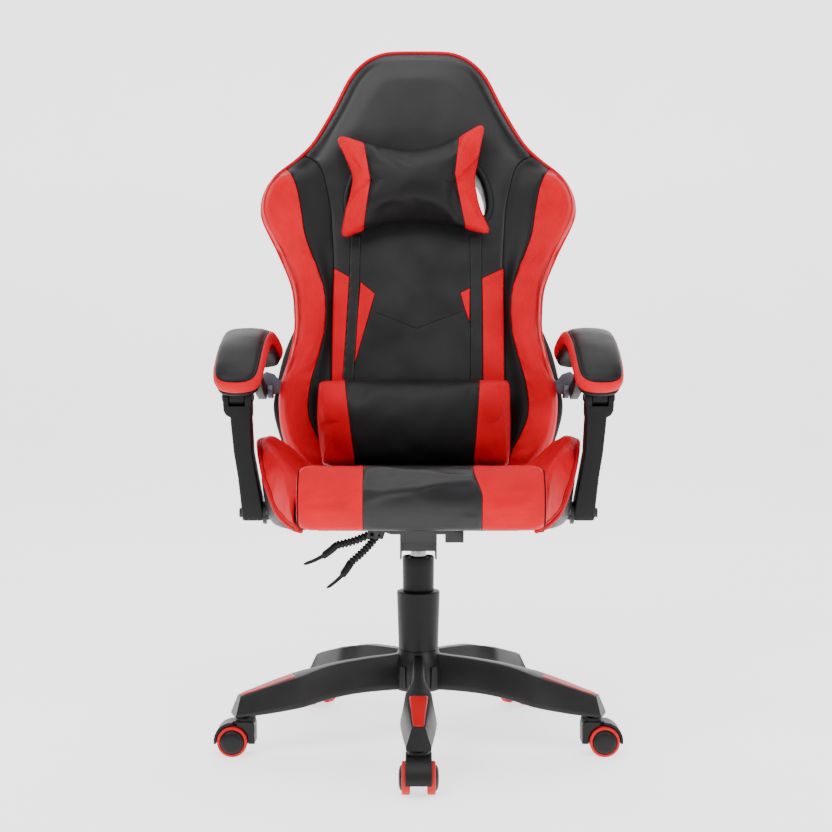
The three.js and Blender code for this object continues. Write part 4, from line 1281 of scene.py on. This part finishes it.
def arc(centre, radius, start, end, count=14):
    """Points of an arc between two angles in degrees."""
    a = np.radians(np.linspace(start, end, count))
    return [(centre[0] + radius * math.cos(t), centre[1] + radius * math.sin(t)) for t in a]


def leg_line(z):
    """Middle of the upright in y at a height."""
    return PIVOT_A[0] + (PIVOT_B[0] - PIVOT_A[0]) * (z - PIVOT_A[1]) / (PIVOT_B[1] - PIVOT_A[1])


# upright stations: z, inner x, outer x, half depth
UPRIGHT = [(385.5, 259, 287, 14), (387, 256.5, 289.5, 17), (395, 255.5, 290, 21), (420, 257.5, 291.5, 22),
           (460, 264, 295, 21), (500, 270, 300.5, 20), (545, 271, 304, 19), (557, 271.5, 304.5, 18.5),
           (561, 270.5, 311.5, 18), (568, 270, 315.5, 17.5), (575.5, 270, 315.8, 17)]
UPRIGHT_CORNER = 3.2
QUARTERS = ((1, 1, 0), (-1, 1, 90), (-1, -1, 180), (1, -1, 270))  # side in x, side in y, first angle


def build_upright(side, tag):
    """The post with its yoke, the web between the prongs and the heads of the yoke bolt."""
    body, node = f"armrest_upright_{tag}", f"arm_upright_{tag}"
    rings = []
    for z, x0, x1, d in UPRIGHT:
        c = np.array([(x0 + x1) / 2, leg_line(z)])
        mx, my = (x1 - x0) / 2 - UPRIGHT_CORNER, d - UPRIGHT_CORNER
        ring = []
        for sx, sy, a in QUARTERS:
            ring += arc(c + [sx * mx, sy * my], UPRIGHT_CORNER, a, a + 90, 5)
        rings.append(np.column_stack([np.array(ring) * [side, 1], np.full(len(ring), z)]))
    place(solid(f"arm_post_{tag}", skin(rings), ARM_PLASTIC, 42), body, "arm_plastic", node)
    prong = arc(PIVOT_B, 15.5, -10, 190, 22) + [(leg_line(572) - 17, 574), (leg_line(572) + 17, 574)]
    web = [(-99, 574), (-94.5, 574), (-94.5, 583), (-97, 583)]
    for label, outline, span, bevel in (("prong_inner", prong, (270, 280.6), 1.2),
                                        ("prong_outer", prong, (306.8, 315.8), 1.2),
                                        ("web", web, (279, 308), 0.6)):
        piece = side_plate(f"arm_{label}_{tag}", outline, span, side, ARM_PLASTIC, bevel)
        place(piece, body, "arm_plastic", node)
    points, faces = lathe([(0.1, 3.2), (4.5, 3.0), (7.2, 1.8), (8, 0), (0.1, 0)], 32)
    for label, x, way in (("inner", 269.8, -1), ("outer", 316, 1)):
        across = side * (x + way * points[:, 2])
        head = np.column_stack([across, PIVOT_B[0] + points[:, 0], PIVOT_B[1] + points[:, 1]])
        piece = solid(f"arm_bolt_{label}_{tag}", (head, faces), BLACK_STEEL, 35)
        place(piece, body, "bright_steel", f"arm_bolt_{tag}")


def build_arm_links(side, tag):
    """Under the pad the lug in the yoke and the bar to the rear pivot; on the back its bracket."""
    (by, bz), (cy, cz) = PIVOT_B, PIVOT_C
    lug = [(by - 22, 650), (by - 14, bz + 6), *arc(PIVOT_B, 14.0, 190, 350), (by + 15, bz + 8),
           (by + 34, 664)]
    bar = [(-30, 664), (20, 661), (62, 647), (108, 619), (cy - 4, cz + 14), *arc(PIVOT_C, 13.5, 60, -110),
           (112, 590), (84, 603), (50, 623), (10, 644), (-30, 652)]
    for label, outline, span in (("lug", lug, (281.2, 306.2)), ("bar", bar, (274.5, 290))):
        piece = side_plate(f"arm_{label}_{tag}", outline, span, side, ARM_PLASTIC, 1.8)
        place(piece, f"armrest_{tag}", "arm_plastic", f"arm_base_{tag}")
    face = [(250, 592), (261, 587), (283, 588), (297, 604), (293, 617), (277, 629), (262, 624), (250, 608)]
    face = [(side * x, z) for x, z in face][::side]
    ear = arc(PIVOT_C, 12, 75, 285, 20) + [(186, 580), (186, 604)]
    root = [(186, 582), (186, 612), (206, 616), (222, 606), (222, 584), (206, 578)]
    for piece in (plate(f"link_plate_{tag}", face, 182.5, 186.5, GREY_STEEL, 1.0, axis=1),
                  side_plate(f"link_ear_{tag}", ear, (263.5, 272.5), side, GREY_STEEL, 1.0),
                  side_plate(f"link_root_{tag}", root, (246, 252), side, GREY_STEEL, 1.0)):
        place(piece, "back", "painted_steel", f"arm_link_bracket_{tag}")


for side, tag in SIDES:
    build_pad(side, tag)
    build_upright(side, tag)
    build_arm_links(side, tag)


# ---- base and casters -----------------------------------------------------------------
ARMS = 5
# an arm from the hub out: (r, z) of its top and of its bottom
ARM_TOP = [(26, 153), (44, 150), (100, 146), (158, 139), (217, 125), (265, 112), (310, 98)]
ARM_LOW = [(26, 91), (44, 91), (109, 90), (158, 85), (212, 75.5), (265, 68.5), (310, 65)]
# r, half width at the top, half width at the bottom
ARM_WIDE = [(26, 7, 17), (44, 6.5, 15.5), (70, 7.5, 15), (110, 8.5, 17), (160, 10, 20.5), (187, 15, 25),
            (210, 20, 29), (240, 18, 27), (280, 13.5, 23), (310, 10, 19.5)]
TIP_FROM, TIP_REACH = 307, 10.5        # past this r the lower part of the arm reaches further out


def arm_shape():
    """Rings of one arm, which points to -y; its end slopes outward to the bottom."""
    top, low, wide = spline(ARM_TOP, 200), spline(ARM_LOW, 200), spline(ARM_WIDE, 300)
    rings = []
    for r in [*np.linspace(26, 306, 54), 309, 310.5]:
        zt, zl = np.interp(r, top[:, 0], top[:, 1]), np.interp(r, low[:, 0], low[:, 1])
        a, b = np.interp(r, wide[:, 0], wide[:, 1]), np.interp(r, wide[:, 0], wide[:, 2])
        h = zt - zl
        half = [(a - 2, zt), (a, zt - 0.7), (a + 1.2, zt - 3), (a + (b - a) * 0.5, zt - h * 0.42),
                (b - 0.6, zl + h * 0.2), (b, zl + 5), (b - 0.3, zl + 1.5), (b - 2, zl)]
        x, z = np.array(half + [(-x, z) for x, z in half[::-1]]).T
        reach = TIP_REACH if r > TIP_FROM else 0
        out = r + reach * np.clip((zt - z) / max(h, 1) * 1.05, 0, 1)
        rings.append(np.column_stack([x, -out, z]))
    return rings


def turned(points, angle):
    """Points turned about Z."""
    c, s = math.cos(angle), math.sin(angle)
    p = np.asarray(points, float)
    return np.column_stack([p[:, 0] * c - p[:, 1] * s, p[:, 0] * s + p[:, 1] * c, p[:, 2]])


INLAY = [(-11.5, 219), (11.5, 219), (14.2, 220.3), (14.9, 223), (8.6, 302), (7.6, 305.6), (4.8, 307),
         (-4.8, 307), (-7.6, 305.6), (-8.6, 302), (-14.9, 223), (-14.2, 220.3)]
INLAY_LIFT = 1.1


def inlay_shape():
    """The raised red inset on top of an arm."""
    top = spline(ARM_TOP, 200)
    centre, half = np.array([0, 262.0]), np.array([14.0, 44.0])
    rings = []
    for shrink, h in ((0, -1.0), (0, INLAY_LIFT - 0.5), (0.7, INLAY_LIFT), (3.0, INLAY_LIFT + 0.25)):
        p = centre + (np.array(INLAY, float) - centre) * (1 - shrink / half)
        z = np.interp(p[:, 1], top[:, 0], top[:, 1])
        rings.append(np.column_stack([p[:, 0], -p[:, 1], z + h]))
    return skin(rings)


HUB = [(25.5, 89), (38, 88.5), (43, 91), (44.2, 96), (43.5, 120), (41.5, 136), (38.5, 146), (35.5, 152.5),
       (34.2, 156.4), (25.5, 156.8), (25.5, 89)]


def build_base():
    """The five-arm star: arms, hub, a rib between each two arms, and the inlays."""
    arm, inlay = skin(arm_shape()), inlay_shape()
    rib = skin([np.array([(x, -r, z) for x, z in ((-7, 96), (7, 96), (5, 132), (-5, 132))])
                for r in (38, 46)])

    def star(shape, first):
        return [(turned(shape[0], 2 * math.pi * (k + first) / ARMS), shape[1]) for k in range(ARMS)]
    base = joined("star_base_moulding", star(arm, 0) + [lathe(HUB, 72)] + star(rib, 0.5), NYLON)
    place(sharp_shading(base, 40), "base", "base_plastic", "star_base")
    place(sharp_shading(joined("arm_inlays", star(inlay, 0), INLAY_RED), 30), "base", "caster_red")


TRAIL, WHEEL_RADIUS = -20.0, 25.0      # the wheels' centre behind the stem, and its height
HOOD_ARC = [math.pi / 2 + (math.pi / 2 + 0.145) * i / 24 for i in range(25)]
HOOD_INNER, HOOD_OUTER, ROUND_IN = 11, 20, 1.2
STEM_BLOCK = [(16.5, 20.5), (16.5, 50), (15.4, 54), (12.5, 56.4), (8, 57)]
COLLAR = [(5.4, 54), (15.6, 54), (17, 55), (17.2, 57.5), (17.2, 60.5), (16.4, 62.2), (5.4, 62.4)]


def caster_parts():
    """Meshes of one caster at the origin, trailing towards -Y."""
    cy, cz = TRAIL, WHEEL_RADIUS
    top, low = (np.array([(0, cy + r * math.cos(t), cz + r * math.sin(t)) for t in HOOD_ARC])
                for r in (31, 27))
    # the fender: a bent strip over each wheel, its outer edge rounded
    strips = []
    for lo, hi in ((-HOOD_OUTER, -HOOD_INNER), (HOOD_INNER, HOOD_OUTER)):
        left, right = (ROUND_IN, 0) if lo < 0 else (0, ROUND_IN)
        rings = []
        for a, b in zip(top, low):
            d = (a - b) / np.linalg.norm(a - b)
            rings.append(np.array([b + [lo, 0, 0], a + [lo, 0, 0] - d * left, a + [lo + left, 0, 0],
                                   a + [hi - right, 0, 0], a + [hi, 0, 0] - d * right, b + [hi, 0, 0]]))
        strips.append(skin(rings))
    # the web between the wheels
    outline = np.vstack([STEM_BLOCK, [(-6, 57)], top[:, 1:],
                         [(cy - 14, 20.5), (cy - 9, 14), (cy + 9, 14), (cy + 14, 20.5)]])
    web = skin([np.insert(outline, 0, x, axis=1) for x in (-HOOD_INNER, HOOD_INNER)])
    # the block on the stem side, full width, its outer faces drawn in
    outline = np.array(STEM_BLOCK + [(-8, 57), (-14, 55.4), (-13, 51), (-4, 47), (3, 40), (6.2, 32), (7, 25),
                                     (6.4, 20.5)])
    small = outline.mean(0) + (outline - outline.mean(0)) * 0.94
    widths = [(small, -HOOD_OUTER), (outline, ROUND_IN - HOOD_OUTER), (outline, -HOOD_INNER)]
    blocks = [skin([np.insert(p, 0, x, axis=1) for p, x in widths]),
              skin([np.insert(p, 0, -x, axis=1) for p, x in widths[::-1]])]
    stem = lathe([(0.1, 60), (5.2, 60), (5.2, 91), (0.1, 92)], 20)
    return strips + [web] + blocks + [lathe(COLLAR, 40), stem]


TYRE = [(4.4, 12.6), (21, 12.6), (24.2, 13.2), (25, 14.6), (25, 23.2), (24.4, 24.9), (22.8, 25.6),
        (20.6, 25.6), (20.0, 25.0), (19.6, 23.0), (4.4, 23.0), (4.4, 12.6)]
CAP = [(0.05, 22), (19.2, 22), (19.2, 25.8), (18.4, 27.4), (16, 28.9), (12, 29.9), (7, 30.4), (0.05, 30.5)]


def wheel_part(profile, side):
    """A turned part of one wheel of a caster at the origin, its axle along X."""
    points, faces = lathe(profile, 56)
    shape = np.column_stack([side * points[:, 2], points[:, 0] + TRAIL, points[:, 1] + WHEEL_RADIUS])
    return shape, faces


# which way each caster trails
HEADINGS = [math.radians(a) for a in (0, 90, 144, 216, 270)]
STEM_RADIUS = 300                      # of the casters' stems from the middle of the base


def build_casters():
    for k in range(ARMS):
        t, name = 2 * math.pi * k / ARMS, f"caster_{k + 1}"
        stem = np.array([STEM_RADIUS * math.sin(t), -STEM_RADIUS * math.cos(t), 0])
        parts = [(turned(p, HEADINGS[k]) + stem, f) for p, f in caster_parts()]
        hood = tidy(joined(f"{name}_hood_moulding", parts, CAP_BLACK))
        place(sharp_shading(hood, 32), name, "base_plastic", f"{name}_hood")
        for letter, side in (("a", -1), ("b", 1)):
            wheel = f"{name}_wheel_{letter}"
            for label, profile, material in (("tyre", TYRE, TYRE_RED), ("cap", CAP, CAP_BLACK)):
                points, faces = wheel_part(profile, side)
                points = turned(points, HEADINGS[k]) + stem
                piece = solid(f"{name}_{label}_{letter}", (points, faces), material, 34)
                place(piece, wheel, "caster_red", wheel)
        painted(f"{name}_axle", BRIGHT_STEEL)


# turned parts of the lift: radius, height
COVER_LOWER = [(25.6, 253), (25.6, 257), (33.5, 257), (35.6, 256.4), (36.8, 254.6), (36.6, 250), (35.2, 205),
               (33.9, 165), (33.6, 157.2), (30.6, 157.2), (31, 165), (33.4, 250), (25.6, 253)]
COVER_UPPER = [(25.4, 257.5), (26.5, 257.5), (27.0, 300), (27.2, 313.6), (26.6, 315.6), (25.8, 316),
               (25.4, 315.6), (25.4, 257.5)]
SPRING = [(5.6, 112), (14, 112), (14, 318), (13.4, 326), (12.8, 345.8), (0.1, 346)]


def build_column():
    """The two telescopic covers of the lift and its bright cylinder."""
    for label, profile in (("lower", COVER_LOWER), ("upper", COVER_UPPER)):
        cover = solid(f"{label}_cover", lathe(profile, 80), COVER_PLASTIC, 34)
        place(cover, "base", "base_plastic", f"column_cover_{label}")
    place(solid("gas_spring_tube", lathe(SPRING, 64), CHROME, 30), "seat", "chrome", "gas_spring")


build_base()
build_casters()
build_column()


# ---- mechanism, levers and the parts that stay as the CAD has them --------------------
refined("mechanism_housing", "seat", 1.0)
refined("seat_frame", "seat", 1.5)
refined("arm_cross_bracket", "seat", 1.0)
refined("back_frame", "back", 1.5)
# y of the lever, then (x, z) of its pivot, the end of its sleeve and its tip
LEVERS = {"height": (-60, (-77, 362), (-136, 342), (-191, 310)),
          "recline": (-20, (-68, 356), (-114, 308), (-155, 264))}
RIB_PITCH = 6.2
BARREL = [(0.1, -6), (6.4, -6), (7, -5), (7, 5), (6.4, 6), (0.1, 6)]


def squared(v):
    """A sine or cosine drawn out, so that a circle becomes a rounded square."""
    return np.sign(v) * np.abs(v) ** 0.6


def build_lever(name, y, root, grip, tip):
    """A lever: the barrel at its pivot, a ribbed rubber sleeve and a flat paddle."""
    body = f"{name}_lever"
    root, grip, tip = (np.array([p[0], y, p[1]], float) for p in (root, grip, tip))
    along = (grip - root) / np.linalg.norm(grip - root)
    sag = np.cross(along, [0, 1, 0])
    sag *= -np.sign(sag[2])
    s = np.linspace(0, 1, 240)[:, None]
    sleeve = root + (grip - root) * s + sag * 2.5 * np.sin(math.pi * s)
    count = round(np.linalg.norm(grip - root) / RIB_PITCH)
    ribs = 4.6 + 2.8 * np.abs(np.sin(s[:, 0] * math.pi * count)) ** 0.8
    points, faces = lathe(BARREL, 32)
    barrel = (points[:, [0, 2, 1]] + root, faces)
    grip_piece = joined(f"{body}_sleeve", [tube(sleeve, ribs, 20), barrel], RUBBER)
    place(sharp_shading(grip_piece, 50), body, "lever_grip", body)
    u = np.linspace(0, 1, 40)
    axis = grip + (tip - grip) * u[:, None] + sag * (4 * np.sin(math.pi * u))[:, None]
    wide = np.interp(u, [0, 0.08, 0.3, 0.42, 0.46, 0.8, 0.94, 1], [6.2, 7.5, 9.5, 10, 8, 7.5, 6.5, 3])
    thick = np.interp(u, [0, 0.08, 0.42, 0.47, 0.9, 1], [6.4, 7, 6.2, 3.4, 2.8, 1.8])
    a = np.linspace(0, 2 * math.pi, 24, endpoint=False)
    cx, cy = squared(np.cos(a)), squared(np.sin(a))
    points, faces = skin([p + np.outer(cx * w, [0, 1, 0]) + np.outer(cy * h, sag)
                          for p, w, h in zip(axis, wide, thick)])
    paddle = mesh_piece(f"{body}_paddle", points, faces, CAP_BLACK)
    place(sharp_shading(paddle, 45), body, "lever_grip", body)


for name, shape in LEVERS.items():
    build_lever(name, *shape)

KEPT = {"outer_column": BLACK_STEEL, "guide_bush": CAP_BLACK, "thrust_bearing": BRIGHT_STEEL,
        "piston_rod": BRIGHT_STEEL, "retaining_clip": BRIGHT_STEEL, "release_button": BRIGHT_STEEL,
        "seat_webbing": WEBBING, "dust_cover": WEBBING, "recline_pin": BRIGHT_STEEL}
for node, material in KEPT.items():
    painted(node, material)


# ---- studio ---------------------------------------------------------------------------
FLOOR, BEND, CURVE = 9000.0, 2600.0, 1500  # reach of the sheet, where it turns up, and its radius
FLOOR_Z = -0.2
# place, target, size in metres, watts
LIGHTS = {"key": ((-1.7, -2.0, 2.9), (0, 0, 0.8), 1.8, 66),
          "fill": ((2.2, -2.2, 1.9), (0, 0, 0.7), 1.8, 36),
          "front": ((0.1, -2.1, 3.3), (0, 0, 0.9), 1.5, 36),
          "top": ((0.1, 0.1, 3.4), (0, 0.1, 0.8), 2.0, 40),
          "rim_left": ((-2.2, 1.4, 1.8), (0, 0.2, 0.8), 1.6, 7),
          "rim_right": ((2.2, 1.4, 1.8), (0, 0.2, 0.8), 1.6, 7)}


def build_studio():
    """A white sheet under and behind the chair, the lights and the camera."""
    sweep = Shader("studio_floor", Roughness=0.85, Specular_IOR_Level=0.1, Emission_Color=(1, 1, 1, 1),
                   Emission_Strength=1.5)
    sweep.finish(sweep.ramp(sweep.noise(3.0), (0.90, 0.90, 0.90), (0.93, 0.93, 0.93)))
    curve = [(BEND + CURVE * math.sin(a), FLOOR_Z + CURVE * (1 - math.cos(a)))
             for a in np.linspace(0.05, math.pi / 2, 24)]
    profile = [(-FLOOR, FLOOR_Z), (BEND, FLOOR_Z)] + curve + [(BEND + CURVE, 6000)]
    rings = [np.array([(x, y, z) for y, z in profile]) for x in (-FLOOR, FLOOR)]
    points, faces = skin(rings, closed=False, caps=False)
    mesh_piece("studio_floor", points, faces, sweep.material)
    world = bpy.data.worlds.new("studio")
    bpy.context.scene.world = world
    world.use_nodes = True
    world.node_tree.nodes["Background"].inputs["Color"].default_value = (1, 1, 1, 1)
    world.node_tree.nodes["Background"].inputs["Strength"].default_value = 0.34
    for name, (at, target, size, power) in LIGHTS.items():
        data = bpy.data.lights.new(name, "AREA")
        data.energy, data.size = power, size
        obj = bpy.data.objects.new(name, data)
        obj.location = at
        obj.rotation_euler = (Vector(target) - Vector(at)).to_track_quat("-Z", "Y").to_euler()
        bpy.context.scene.collection.objects.link(obj)
    camera = bpy.data.cameras.new("camera")
    camera.sensor_width, camera.lens = 36.0, 63.6
    eye = bpy.data.objects.new("camera", camera)
    eye.location = (-0.004, -2.5, 0.655)
    eye.rotation_euler = (math.pi / 2 - 0.04, 0, 0)
    bpy.context.scene.collection.objects.link(eye)
    bpy.context.scene.camera = eye


build_studio()
